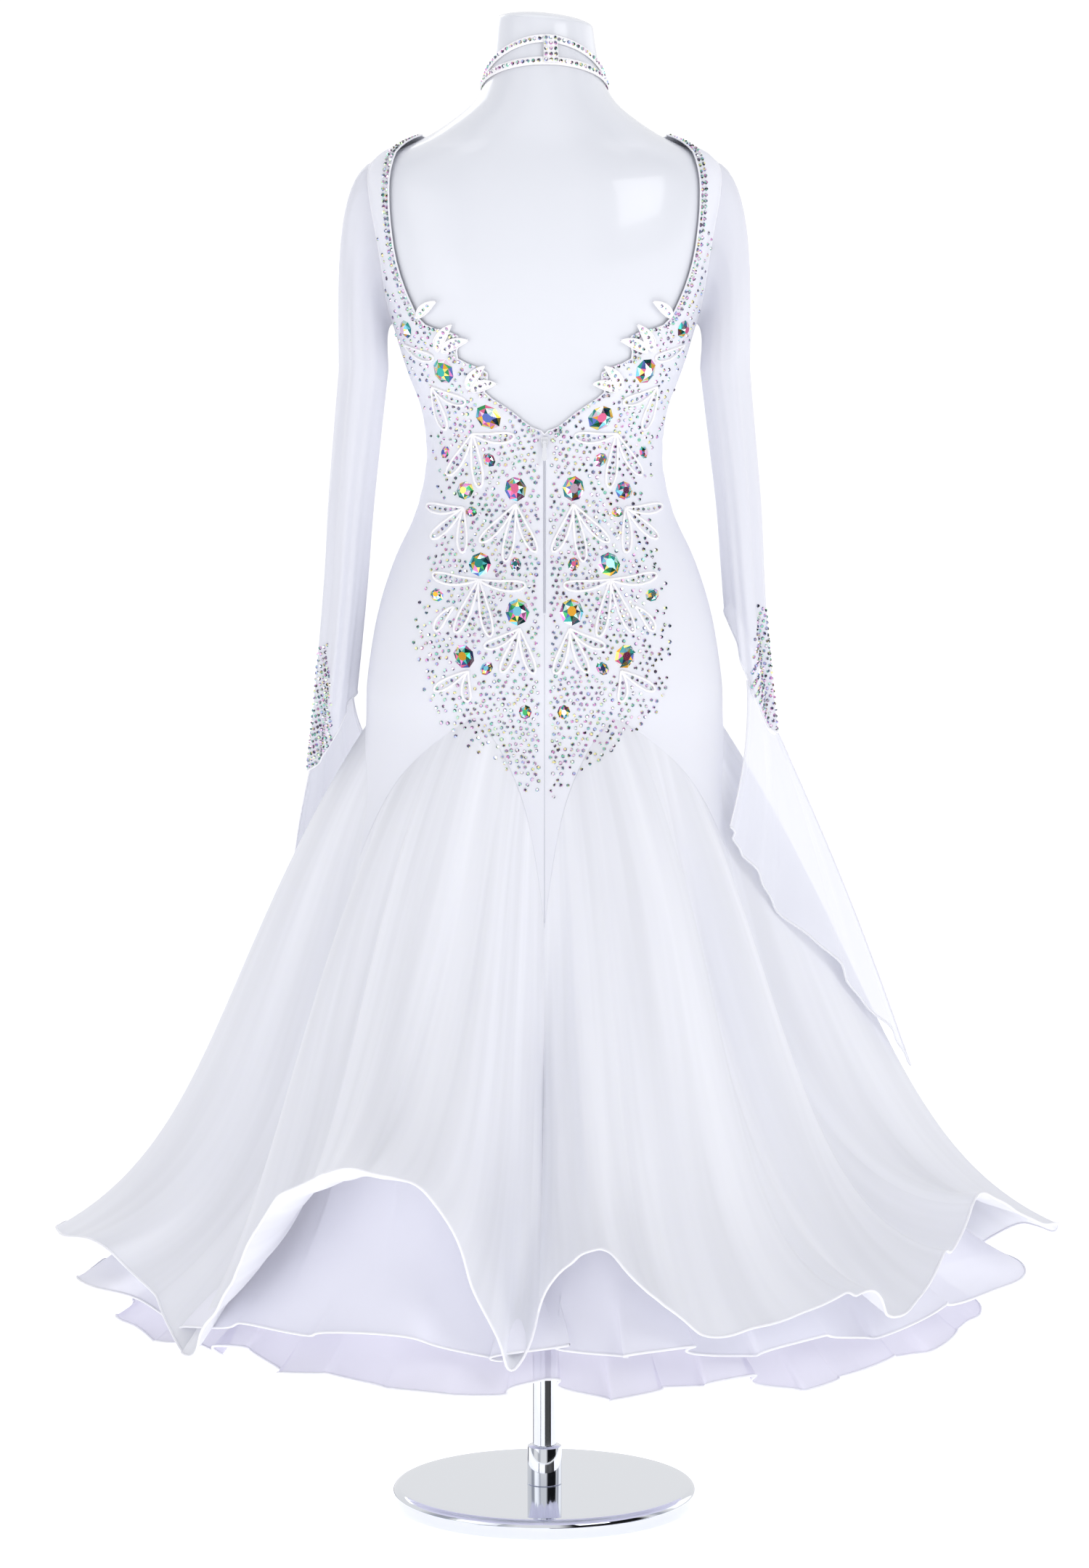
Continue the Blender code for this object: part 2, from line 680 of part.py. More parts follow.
def build_skirt(collection, materials):
    """Build the six godets of the top skirt."""
    knots = [row[0] for row in HEM_TOP]
    for row in GODETS:
        inside = [knot for knot in knots if row[1] <= knot <= row[5]]
        azimuths = []
        for start, end in zip(inside, inside[1:]):
            azimuths.append(start)
            azimuths.append(0.5 * (start + end))
        azimuths.append(inside[-1])
        rows = []
        for share in SKIRT_ROWS:
            rows.append([skirt_point(azimuth, share, 0.0) for azimuth in azimuths])
        top = [point.copy() for point in rows[0]]
        for place in range(1, len(azimuths) - 1, 2):
            change = top[place - 1].lerp(top[place + 1], 0.5) - top[place]
            for share, line in zip(SKIRT_ROWS, rows):
                line[place] = line[place] + change * (1.0 - share) ** 2
        rows = inset_columns(rows, SKIRT_SEAM_GAP * 0.5, SKIRT_SEAM_GAP * 0.5)
        for place, azimuth in enumerate(azimuths):
            run = (rows[1][place] - rows[0][place]).length
            lean = WALL * math.sin(math.radians(along(HEM_TOP, azimuth, 5)))
            drop = upright(azimuth, SKIRT_SEAM_GAP * 0.5 + lean)
            rows[0][place] = rows[0][place].lerp(rows[1][place], drop / run)
        cloth(row[0], [rows], collection, materials["crepe"])


def fold_room(azimuth, share):
    """Extra inset that keeps a flounce's straight stretches inside the hollow folds of the top skirt."""
    knots = [row[0] for row in HEM_TOP]
    place = knots.index(azimuth)
    before = knots[place - 1] if place > 0 else knots[-2] - 360.0
    after = knots[place + 1] if place < len(knots) - 1 else knots[1] + 360.0
    here = skirt_point(azimuth, share, 0.0)
    room = 0.0
    for other in (before, after):
        middle = skirt_point((0.5 * (azimuth + other)) % 360.0, share, 0.0)
        chord = 0.5 * (here + skirt_point(other % 360.0, share, 0.0))
        room = max(room, math.hypot(chord.x, chord.y) - math.hypot(middle.x, middle.y))
    return room


def flounce_point(azimuth, share, table, sewn_at, depth):
    """Point of an under flounce that leaves the layer over it and hangs to its own hem."""
    if depth == 1:
        inset = WALL + MIDDLE_INSET + fold_room(azimuth, sewn_at)
        first = skirt_point(azimuth, sewn_at, inset)
        next_point = skirt_point(azimuth, sewn_at + 0.08, inset)
        hem_azimuth = skirt_azimuth(azimuth, 1.0)
    else:
        first = flounce_point(azimuth, sewn_at, FLOUNCE_MIDDLE, MIDDLE_SEWN_AT, 1)
        next_point = flounce_point(azimuth, sewn_at + 0.08, FLOUNCE_MIDDLE, MIDDLE_SEWN_AT, 1)
        inward = WALL + LOWEST_INSET
        for point in (first, next_point):
            level = math.hypot(point.x, point.y)
            point.x *= (level - inward) / level
            point.y *= (level - inward) / level
        hem_azimuth = skirt_azimuth(azimuth, 1.0)
    radius = along(table, azimuth, 1)
    height = along(table, azimuth, 2)
    end_angle = math.radians(along(table, azimuth, 3))
    start = (math.hypot(first.x, first.y), first.z)
    follow = (math.hypot(next_point.x, next_point.y), next_point.z)
    slope = math.atan2(follow[0] - start[0], start[1] - follow[1]) - math.radians(FLOUNCE_TURN_IN)
    span = math.hypot(radius - start[0], start[1] - height)
    lead = span * 0.40
    second = (start[0] + lead * math.sin(slope), start[1] - lead * math.cos(slope))
    lead = span * 0.30
    third = (radius - lead * math.sin(end_angle), height + lead * math.cos(end_angle))
    where = curve_at((start, second, third, (radius, height)), share)
    start_azimuth = math.degrees(math.atan2(first.x, first.y))
    turn = (hem_azimuth - start_azimuth + 180.0) % 360.0 - 180.0
    return polar(start_azimuth + turn * share, where[0], where[1])


def build_flounces(collection, materials):
    """Build both under flounces, each in four quarters."""
    layers = (
        ("flounce_middle", FLOUNCE_MIDDLE, MIDDLE_SEWN_AT, 1, "lining"),
        ("flounce_lowest", FLOUNCE_LOWEST, LOWEST_SEWN_AT, 2, "net"),
    )
    for layer, table, sewn_at, depth, material in layers:
        for quarter, start in FLOUNCE_QUARTERS:
            azimuths = [row[0] for row in HEM_TOP if start <= row[0] <= start + 90.0]
            rows = []
            for share in FLOUNCE_ROWS:
                rows.append([flounce_point(azimuth, share, table, sewn_at, depth) for azimuth in azimuths])
            rows = inset_columns(rows, FLOUNCE_SEAM_GAP * 0.5, FLOUNCE_SEAM_GAP * 0.5)
            cloth(layer + "_" + quarter, [rows], collection, materials[material])


def armhole_points(side):
    """Closed line of the armhole, drawn in for the seam, from the shoulder round the back."""
    back = [(row[2], row[3]) for row in BACK_RUNGS if row[2] < 90.0 or row[3] > 1.26]
    front = [(row[2], row[3]) for row in FRONT_RUNGS if row[2] > 90.0]
    front.reverse()
    ring = back + front
    lengths = [0.0]
    for first, second in zip(ring, ring[1:] + ring[:1]):
        run = math.radians(second[0] - first[0]) * ARMHOLE_RADIUS
        lengths.append(lengths[-1] + math.hypot(run, second[1] - first[1]))
    closed = ring + ring[:1]
    points = []
    for place in range(SLEEVE_COLUMNS):
        wanted = lengths[-1] * place / SLEEVE_COLUMNS
        index = 0
        while lengths[index + 1] < wanted:
            index += 1
        share = (wanted - lengths[index]) / (lengths[index + 1] - lengths[index])
        azimuth = blend(closed[index][0], closed[index + 1][0], share)
        height = blend(closed[index][1], closed[index + 1][1], share)
        run = math.radians(azimuth - ARMHOLE_AZIMUTH) * ARMHOLE_RADIUS
        rise = height - ARMHOLE_HEIGHT
        reach = math.hypot(run, rise)
        keep = 1.0 - ARMHOLE_INSET / reach
        azimuth = ARMHOLE_AZIMUTH + (azimuth - ARMHOLE_AZIMUTH) * keep
        height = ARMHOLE_HEIGHT + rise * keep
        points.append(cloth_point(azimuth * side, height, 0.0))
    points.append(points[0].copy())
    return points


def sleeve_section(height, turn, side):
    """Point of the sleeve's level section: turn 0 is outward, 90 towards the back."""
    angle = math.radians(turn)
    centre_x = along(SLEEVE_SECTIONS, height, 1)
    centre_y = along(SLEEVE_SECTIONS, height, 2)
    fold = SLEEVE_FOLD_DEPTH * math.sin(SLEEVE_FOLDS * angle + 6.0 * height)
    half_width = along(SLEEVE_SECTIONS, height, 3) + fold
    half_depth = along(SLEEVE_SECTIONS, height, 4) + fold
    across = centre_x + half_width * math.cos(angle)
    return Vector((side * across, centre_y + half_depth * math.sin(angle), height))


def cuff_height(cuff, turn):
    """Height of the cuff's edge round the sleeve."""
    return cuff[1] - cuff[2] * math.cos(math.radians(turn - cuff[3]))


def build_sleeves(collection, materials):
    """Build both hanging sleeves from armhole to cuff."""
    for cuff, name in zip(CUFFS, ("sleeve_left", "sleeve_right")):
        side = cuff[0]
        ring = armhole_points(side)
        turns = [360.0 * place / SLEEVE_COLUMNS for place in range(SLEEVE_COLUMNS + 1)]
        level = [sleeve_section(SLEEVE_TOP, turn, side) for turn in turns]
        rows = []
        for step in range(SLEEVE_CAP_ROWS):
            share = step / SLEEVE_CAP_ROWS
            row = []
            for start, end in zip(ring, level):
                reach = (end - start).length
                out = Vector((side * 0.9, 0.0, -0.25)) * reach * 0.62
                down = Vector((0.0, 0.0, -1.0)) * reach * 0.9
                square = share * share
                cube = square * share
                point = start * (2.0 * cube - 3.0 * square + 1.0) + out * (cube - 2.0 * square + share)
                point += end * (3.0 * square - 2.0 * cube) + down * (cube - square)
                row.append(point)
            rows.append(row)
        for step in range(SLEEVE_ROWS + 1):
            row = []
            for turn in turns:
                height = blend(SLEEVE_TOP, cuff_height(cuff, turn), step / SLEEVE_ROWS)
                row.append(sleeve_section(height, turn, side))
            rows.append(row)
        cloth(name, [rows], collection, materials["organza"], closed=True)


def build_floats(collection, materials):
    """Build the chiffon fall of each cuff."""
    for cuff, name in zip(CUFFS, ("float_left", "float_right")):
        side = cuff[0]
        lines = []
        for column, low_azimuth, low_height, lift in FLOAT_LINES:
            turn = 360.0 * (column + cuff[7]) / SLEEVE_COLUMNS
            azimuth = 360.0 - low_azimuth
            if side > 0.0:
                turn = -turn
                azimuth = 180.0 - low_azimuth + cuff[6]
            start = sleeve_section(cuff_height(cuff, turn) - cuff[4], turn, side)
            radius = skirt_radius_at(azimuth, low_height) + lift
            lines.append((start, polar(azimuth, radius, low_height)))
        rows = []
        for step in range(FLOAT_ROWS + 1):
            share = step / FLOAT_ROWS
            row = []
            for start, end in lines:
                point = start.lerp(end, share)
                bow = cuff[5] * math.sin(math.pi * share)
                outward = Vector((point.x, point.y, 0.0)).normalized()
                row.append(point + outward * bow)
            rows.append(row)
        cloth(name, [rows], collection, materials["organza"])


def build_choker(collection, materials):
    """Build the two strips of the neck band and the tab that laps over them at the back."""
    for name, is_high in (("choker_upper", True), ("choker_lower", False)):
        rows = [[], []]
        for place in range(CHOKER_COLUMNS + 1):
            azimuth = 360.0 * place / CHOKER_COLUMNS
            back = 0.5 + 0.5 * math.cos(math.radians(azimuth))
            apart = max(0.0, math.cos(math.radians(azimuth))) ** 1.3
            spread = CHOKER_WIDTH * 0.5 + SEAM_GAP * 0.5
            spread = blend(spread, 0.5 * (CHOKER_BACK_HIGH - CHOKER_BACK_LOW), apart)
            level = blend(CHOKER_FRONT, 0.5 * (CHOKER_BACK_LOW + CHOKER_BACK_HIGH), back ** 1.15)
            middle = level + spread if is_high else level - spread
            for row, shift in ((0, 0.5), (1, -0.5)):
                height = middle + CHOKER_WIDTH * shift
                rows[row].append(body_point(FORM_SECTIONS, azimuth, height, CHOKER_CLEARANCE))
        cloth(name, [rows], collection, materials["band"], closed=True, wall=CHOKER_WALL)
    rows = []
    lift = CHOKER_CLEARANCE + CHOKER_WALL + 0.0008
    for height in (CHOKER_BACK_HIGH + TAB_REACH, CHOKER_BACK_LOW - TAB_REACH):
        rows.append([body_point(FORM_SECTIONS, azimuth, height, lift) for azimuth in TAB_AZIMUTHS])
    cloth("choker_tab", [rows], collection, materials["band"], wall=CHOKER_WALL)


def add_box(work, low, high):
    """Add a closed box between two corners to a mesh in work."""
    made = bmesh.ops.create_cube(work, size=1.0)
    for vertex in made["verts"]:
        for axis in range(3):
            vertex.co[axis] = blend(low[axis], high[axis], vertex.co[axis] + 0.5)


def add_prism(work, outline, axis, low, high):
    """Add a closed prism: an outline of two coordinates, drawn out along the remaining axis."""
    others = [place for place in range(3) if place != axis]
    ends = []
    for level in (low, high):
        ring = []
        for first, second in outline:
            spot = Vector((0.0, 0.0, 0.0))
            spot[others[0]] = first
            spot[others[1]] = second
            spot[axis] = level
            ring.append(work.verts.new(spot))
        ends.append(ring)
        work.faces.new(ring)
    count = len(outline)
    for place in range(count):
        after = (place + 1) % count
        work.faces.new((ends[0][place], ends[0][after], ends[1][after], ends[1][place]))


def mesh_object(name, work, collection, material):
    """Turn a mesh in work into an object with its faces turned outward."""
    bmesh.ops.recalc_face_normals(work, faces=list(work.faces))
    mesh = bpy.data.meshes.new(name)
    work.to_mesh(mesh)
    work.free()
    return link_mesh(name, mesh, collection, material)


def combine(item, operand, operation):
    """Apply one exact Boolean of an operand to an item, as a modifier."""
    join = item.modifiers.new(operand.name, "BOOLEAN")
    join.solver = "EXACT"
    join.operation = operation
    join.object = operand
    join.use_self = operation == "UNION"


def circle(first, second, radius, sides, start):
    """Outline of a regular polygon."""
    points = []
    for place in range(sides):
        angle = math.radians(start + 360.0 * place / sides)
        points.append((first + radius * math.cos(angle), second + radius * math.sin(angle)))
    return points


def build_zip(collection, cutters, materials):
    """Build the zip slider at the foot of the open back, and the pull tab hinged on its bar."""
    face = 0.0
    for place in (-0.5, 0.0, 0.5):
        point = cloth_point(0.0, SLIDER_HEIGHT + place * SLIDER_LENGTH, 0.0)
        face = max(face, point.y + WALL)
    inner = face + SEAM_GAP
    outer = inner + SLIDER_THICKNESS
    hinge_y = outer + HINGE_STAND_OFF
    hinge_z = SLIDER_HEIGHT + SLIDER_LENGTH * 0.12
    half = SLIDER_WIDTH * 0.5
    length = SLIDER_LENGTH * 0.5
    shape = ((-half, length), (-half * 0.62, -length), (half * 0.62, -length), (half, length),
             (half * 0.6, length + 0.0008), (-half * 0.6, length + 0.0008))
    work = bmesh.new()
    add_prism(work, [(x, z + SLIDER_HEIGHT) for x, z in shape], 1, inner, outer)
    slider = mesh_object("zip_slider", work, collection, materials["zip"])
    work = bmesh.new()
    for side in (-1.0, 1.0):
        near = side * LUG_GAP * 0.5
        far = side * (LUG_GAP * 0.5 + LUG_WIDTH)
        low = (min(near, far), outer - 0.0004, hinge_z - 0.0012)
        high = (max(near, far), hinge_y + 0.0010, hinge_z + 0.0012)
        add_box(work, low, high)
    pin_half = LUG_GAP * 0.5 + 0.0004
    add_prism(work, circle(hinge_y, hinge_z, HINGE_RADIUS, 8, 22.5), 0, -pin_half, pin_half)
    lugs = mesh_object("zip_lugs", work, cutters, materials["zip"])
    combine(slider, lugs, "UNION")
    eye_half = LUG_GAP * 0.5 - 0.0004
    work = bmesh.new()
    add_prism(work, circle(hinge_y, hinge_z, EYE_RADIUS, 12, 15.0), 0, -eye_half, eye_half)
    pull = mesh_object("zip_pull", work, collection, materials["zip"])
    work = bmesh.new()
    outline = [(eye_half * 0.7, hinge_z - 0.0008), (-eye_half * 0.7, hinge_z - 0.0008)]
    swell = hinge_z - PULL_LENGTH + PULL_WIDTH * 0.5
    for step in range(9):
        angle = math.radians(180.0 + 22.5 * step)
        outline.append((PULL_WIDTH * 0.5 * math.cos(angle), swell + PULL_WIDTH * 0.5 * math.sin(angle)))
    add_prism(work, outline, 1, hinge_y - PULL_THICKNESS * 0.5, hinge_y + PULL_THICKNESS * 0.5)
    blade = mesh_object("pull_blade", work, cutters, materials["zip"])
    work = bmesh.new()
    add_prism(work, circle(hinge_y, hinge_z, EYE_HOLE, 12, 15.0), 0, -eye_half - 0.001, eye_half + 0.001)
    hole = mesh_object("pull_hole", work, cutters, materials["zip"])
    combine(pull, blade, "UNION")
    combine(pull, hole, "DIFFERENCE")


def raise_stones(item, side, cutters, material):
    """Raise the large stones of a back panel from its outer face."""
    graph = bpy.context.evaluated_depsgraph_get()
    solid = item.evaluated_get(graph).to_mesh()
    spots = [vertex.co.copy() for vertex in solid.vertices]
    faces = [tuple(face.vertices) for face in solid.polygons]
    tree = BVHTree.FromPolygons(spots, faces)
    work = bmesh.new()
    for azimuth, height, radius, stretch, tilt in STONES:
        centre = cloth_point(azimuth * side, height, WALL)
        lifted = cloth_point(azimuth * side, height, 0.01)
        outward = (lifted - cloth_point(azimuth * side, height, 0.0)).normalized()
        across = Vector((0.0, 0.0, 1.0)).cross(outward).normalized()
        upward = outward.cross(across).normalized()
        turn = math.radians(tilt * side)
        rings = []
        for share, rise in STONE_RINGS:
            ring = []
            for place in range(STONE_SIDES):
                angle = 2.0 * math.pi * (place + 0.5) / STONE_SIDES
                first = radius * share * math.cos(angle)
                second = radius * share * stretch * math.sin(angle)
                shift = across * (first * math.cos(turn) - second * math.sin(turn))
                shift += upward * (first * math.sin(turn) + second * math.cos(turn))
                spot = centre + shift
                hit = tree.ray_cast(spot + outward * 0.02, -outward)[0]
                if rise > 0.002:
                    hit = spot
                ring.append(work.verts.new(hit + outward * rise))
            rings.append(ring)
        hit = tree.ray_cast(centre + outward * 0.02, -outward)[0]
        middle = work.verts.new(hit - outward * STONE_SUNK)
        for place in range(STONE_SIDES):
            after = (place + 1) % STONE_SIDES
            work.faces.new((middle, rings[0][after], rings[0][place]))
            for low, high in zip(rings, rings[1:]):
                work.faces.new((low[place], low[after], high[after], high[place]))
        work.faces.new(rings[-1])
    stones = mesh_object(item.name + "_stones", work, cutters, material)
    combine(item, stones, "UNION")


def build_form(collection, materials):
    """Build the smooth limbless form: rings lofted from the hip block up over the shoulders to the neck."""
    levels = [row[0] for row in FORM_SECTIONS if row[0] not in FORM_SKIPPED]
    rings = []
    lowest = []
    for place in range(FORM_COLUMNS):
        azimuth = 360.0 * place / FORM_COLUMNS
        radius = section_radius(FORM_SECTIONS, azimuth, FORM_BOTTOM) - 0.010
        lowest.append(polar(azimuth, radius, FORM_BOTTOM - 0.008))
    rings.append(lowest)
    for level in levels:
        ring = []
        for place in range(FORM_COLUMNS):
            azimuth = 360.0 * place / FORM_COLUMNS
            point = polar(azimuth, section_radius(FORM_SECTIONS, azimuth, level), level)
            lean = max(0.0, (level - 1.53) / (NECK_TOP - 1.53))
            point.z += NECK_SLANT * point.x * lean
            ring.append(point)
        rings.append(ring)
    for inward, rise in ((0.86, 0.45), (0.6, 0.8), (0.3, 0.95)):
        ring = []
        for point in rings[len(levels)]:
            ring.append(Vector((point.x * inward, point.y * inward, point.z + NECK_DOME * rise)))
        rings.append(ring)
    work = bmesh.new()
    count = len(rings)
    bmesh.ops.create_grid(work, x_segments=FORM_COLUMNS, y_segments=count - 1, size=1.0)
    work.verts.ensure_lookup_table()
    for row in range(count):
        for place in range(FORM_COLUMNS + 1):
            work.verts[row * (FORM_COLUMNS + 1) + place].co = rings[row][place % FORM_COLUMNS]
    bmesh.ops.remove_doubles(work, verts=list(work.verts), dist=0.00001)
    edges = [edge for edge in work.edges if edge.is_boundary]
    bmesh.ops.holes_fill(work, edges=edges, sides=0)
    bmesh.ops.recalc_face_normals(work, faces=list(work.faces))
    mesh = bpy.data.meshes.new("dress_form")
    work.to_mesh(mesh)
    work.free()
    return link_mesh("dress_form", mesh, collection, materials["shell"])


def build_stand(collection, materials):
    """Build the base plate and the pole with its socket collar."""
    edge = []
    middle = BASE_THICKNESS - BASE_EDGE_ROUND
    for step in range(5):
        angle = math.radians(90.0 - 22.5 * step)
        edge.append((BASE_RADIUS - BASE_EDGE_ROUND + BASE_EDGE_ROUND * math.cos(angle),
                     middle + BASE_EDGE_ROUND * math.sin(angle)))
    profile = [(0.0, BASE_THICKNESS)] + edge + [(BASE_RADIUS - 0.002, 0.0), (0.0, 0.0)]
    turned_piece("stand_base", profile, ROUND_STEPS, collection, materials["chrome"], False)
    foot = BASE_THICKNESS + SEAT_GAP
    top = FORM_BOTTOM - 0.008 - SEAT_GAP
    profile = [(0.0, top), (POLE_RADIUS, top), (POLE_RADIUS, SOCKET_TOP),
               (SOCKET_RADIUS - 0.001, SOCKET_TOP), (SOCKET_RADIUS, SOCKET_TOP - 0.001),
               (SOCKET_RADIUS, foot), (0.0, foot)]
    turned_piece("stand_pole", profile, POLE_STEPS, collection, materials["chrome"], False)


def build_front(collection, materials, halves):
    """Make the front panel of its two halves, in one from side seam to side seam below the neckline."""
    cloth("front", list(halves), collection, materials["crepe"])


def main():
    """Build every piece of the dress, the form and the stand."""
    clear_file()
    collection = new_collection("ballroom_dress")
    cutters = new_collection("cutters")
    materials = {
        "crepe": new_material("stretch_crepe_white", (0.84, 0.85, 0.90), 0.75, 0.0),
        "lining": new_material("satin_lining_white", (0.80, 0.81, 0.87), 0.55, 0.0),
        "net": new_material("stiff_net_lilac", (0.70, 0.70, 0.82), 0.8, 0.0),
        "organza": new_material("organza_white", (0.88, 0.88, 0.93), 0.5, 0.0),
        "band": new_material("stoned_band", (0.70, 0.68, 0.74), 0.3, 0.2),
        "shell": new_material("glossy_shell_white", (0.86, 0.86, 0.86), 0.18, 0.0),
        "chrome": new_material("polished_chrome", (0.75, 0.76, 0.78), 0.06, 1.0),
        "stone": new_material("crystal_stone", (0.78, 0.72, 0.80), 0.1, 0.3),
        "zip": new_material("zip_metal", (0.78, 0.79, 0.80), 0.25, 1.0),
    }
    halves = build_bodice(collection, cutters, materials)
    build_front(collection, materials, halves)
    build_skirt(collection, materials)
    build_flounces(collection, materials)
    build_sleeves(collection, materials)
    build_floats(collection, materials)
    build_choker(collection, materials)
    build_zip(collection, cutters, materials)
    build_form(collection, materials)
    build_stand(collection, materials)
    for item in cutters.objects:
        item.hide_render = True
        item.display_type = "WIRE"


main()
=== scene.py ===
"""Looks of a ballroom dance dress on a dress form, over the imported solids, in metres with +Z up.

Azimuth is measured about the pole: 0 is the centre back (+Y), 90 the wearer's left (+X) and 180 the
centre front.
"""

from __future__ import annotations

import json
import logging
import math
from collections.abc import Callable
from dataclasses import dataclass, field
from enum import Enum
from functools import cache

import bmesh
import bpy
import numpy as np
from mathutils import Matrix, Vector
from mathutils.bvhtree import BVHTree

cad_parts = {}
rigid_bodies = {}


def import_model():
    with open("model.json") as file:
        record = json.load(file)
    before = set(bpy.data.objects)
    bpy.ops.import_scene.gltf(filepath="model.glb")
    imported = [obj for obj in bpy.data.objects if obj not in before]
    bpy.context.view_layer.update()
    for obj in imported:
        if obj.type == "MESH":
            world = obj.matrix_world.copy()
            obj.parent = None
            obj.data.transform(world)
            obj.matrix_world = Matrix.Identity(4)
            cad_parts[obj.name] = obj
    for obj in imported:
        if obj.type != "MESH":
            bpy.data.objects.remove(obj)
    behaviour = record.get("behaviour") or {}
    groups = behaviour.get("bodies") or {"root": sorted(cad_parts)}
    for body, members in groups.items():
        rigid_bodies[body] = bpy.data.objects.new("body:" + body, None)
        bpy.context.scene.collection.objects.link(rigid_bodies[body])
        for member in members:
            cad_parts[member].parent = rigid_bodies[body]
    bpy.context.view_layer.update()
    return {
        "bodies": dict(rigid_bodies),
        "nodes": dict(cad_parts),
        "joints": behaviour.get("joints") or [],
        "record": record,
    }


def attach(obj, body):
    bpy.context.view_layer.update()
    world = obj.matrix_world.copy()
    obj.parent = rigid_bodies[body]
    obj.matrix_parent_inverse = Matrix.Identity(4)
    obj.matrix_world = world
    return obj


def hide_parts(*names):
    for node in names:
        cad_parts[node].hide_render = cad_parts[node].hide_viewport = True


LOG = logging.getLogger("dress")
Row = tuple[float, ...]
Rows = list[list[Vector]]
Points = tuple[tuple[float, float], ...]

WALL = 0.0012
MID_WALL = 0.0006
BODY = "dress"
NECK_RUNGS_BACK = 14
ARMHOLE_RUNGS_BACK = 7
NECK_RUNGS_FRONT = 6
ARMHOLE_RUNGS_FRONT = 8


class Layer(Enum):
    """Which cloth of the skirt a piece is."""

    TOP = 0
    MIDDLE = 1
    LOWEST = 2


def weights(share: float) -> Row:
    """Weights of start, start slope, end and end slope, a share of the way along a smooth curve."""
    square, cube = share * share, share**3
    return (2.0 * cube - 3.0 * square + 1.0, cube - 2.0 * square + share,
            3.0 * square - 2.0 * cube, cube - square)


@dataclass(frozen=True)
class Table:
    """A short table that is read smoothly along its rising first column."""

    rows: tuple[Row, ...]

    def at(self, position: float, column: int) -> float:
        """Read one column.

        Args:
            position: Place along the first column.
            column: Column that is read.

        Returns:
            The smooth value there, held level past both ends.
        """
        rows = self.rows
        if position <= rows[0][0]:
            return rows[0][column]
        if position >= rows[-1][0]:
            return rows[-1][column]
        index = 0
        while rows[index + 1][0] < position:
            index += 1
        start, end = rows[index], rows[index + 1]
        before, after = rows[max(index - 1, 0)], rows[min(index + 2, len(rows) - 1)]
        step = end[0] - start[0]
        slope_start = (end[column] - before[column]) / (end[0] - before[0])
        slope_end = (after[column] - start[column]) / (after[0] - start[0])
        parts = weights((position - start[0]) / step)
        value = parts[0] * start[column] + parts[1] * step * slope_start
        return value + parts[2] * end[column] + parts[3] * step * slope_end


def blend(first: float, second: float, share: float) -> float:
    """Return the value that lies a share of the way from the first to the second."""
    return first + (second - first) * share


def wrapped(degrees: float) -> float:
    """Bring an angle between -180 and 180 degrees."""
    return (degrees + 180.0) % 360.0 - 180.0


def eased(share: float) -> float:
    """Ease a share in and out."""
    return share * share * (3.0 - 2.0 * share)


def narrowed(low: float, high: float, steps: int, is_low: Callable[[float], bool]) -> tuple[float, float]:
    """Halve a span step by step about the place where a test turns false.

    Args:
        low: Start of the span, where the test holds.
        high: End of the span.
        steps: How often the span is halved.
        is_low: Test of a place.

    Returns:
        Start and end of the span that is left.
    """
    for _ in range(steps):
        middle = 0.5 * (low + high)
        if is_low(middle):
            low = middle
        else:
            high = middle
    return low, high


def azimuth_of(spot: Vector) -> float:
    """Azimuth of a point, in degrees."""
    return math.degrees(math.atan2(spot.x, spot.y))


def polar(azimuth: float, radius: float, height: float) -> Vector:
    """Turn azimuth, radius and height into a point."""
    angle = math.radians(azimuth)
    return Vector((radius * math.sin(angle), radius * math.cos(angle), height))


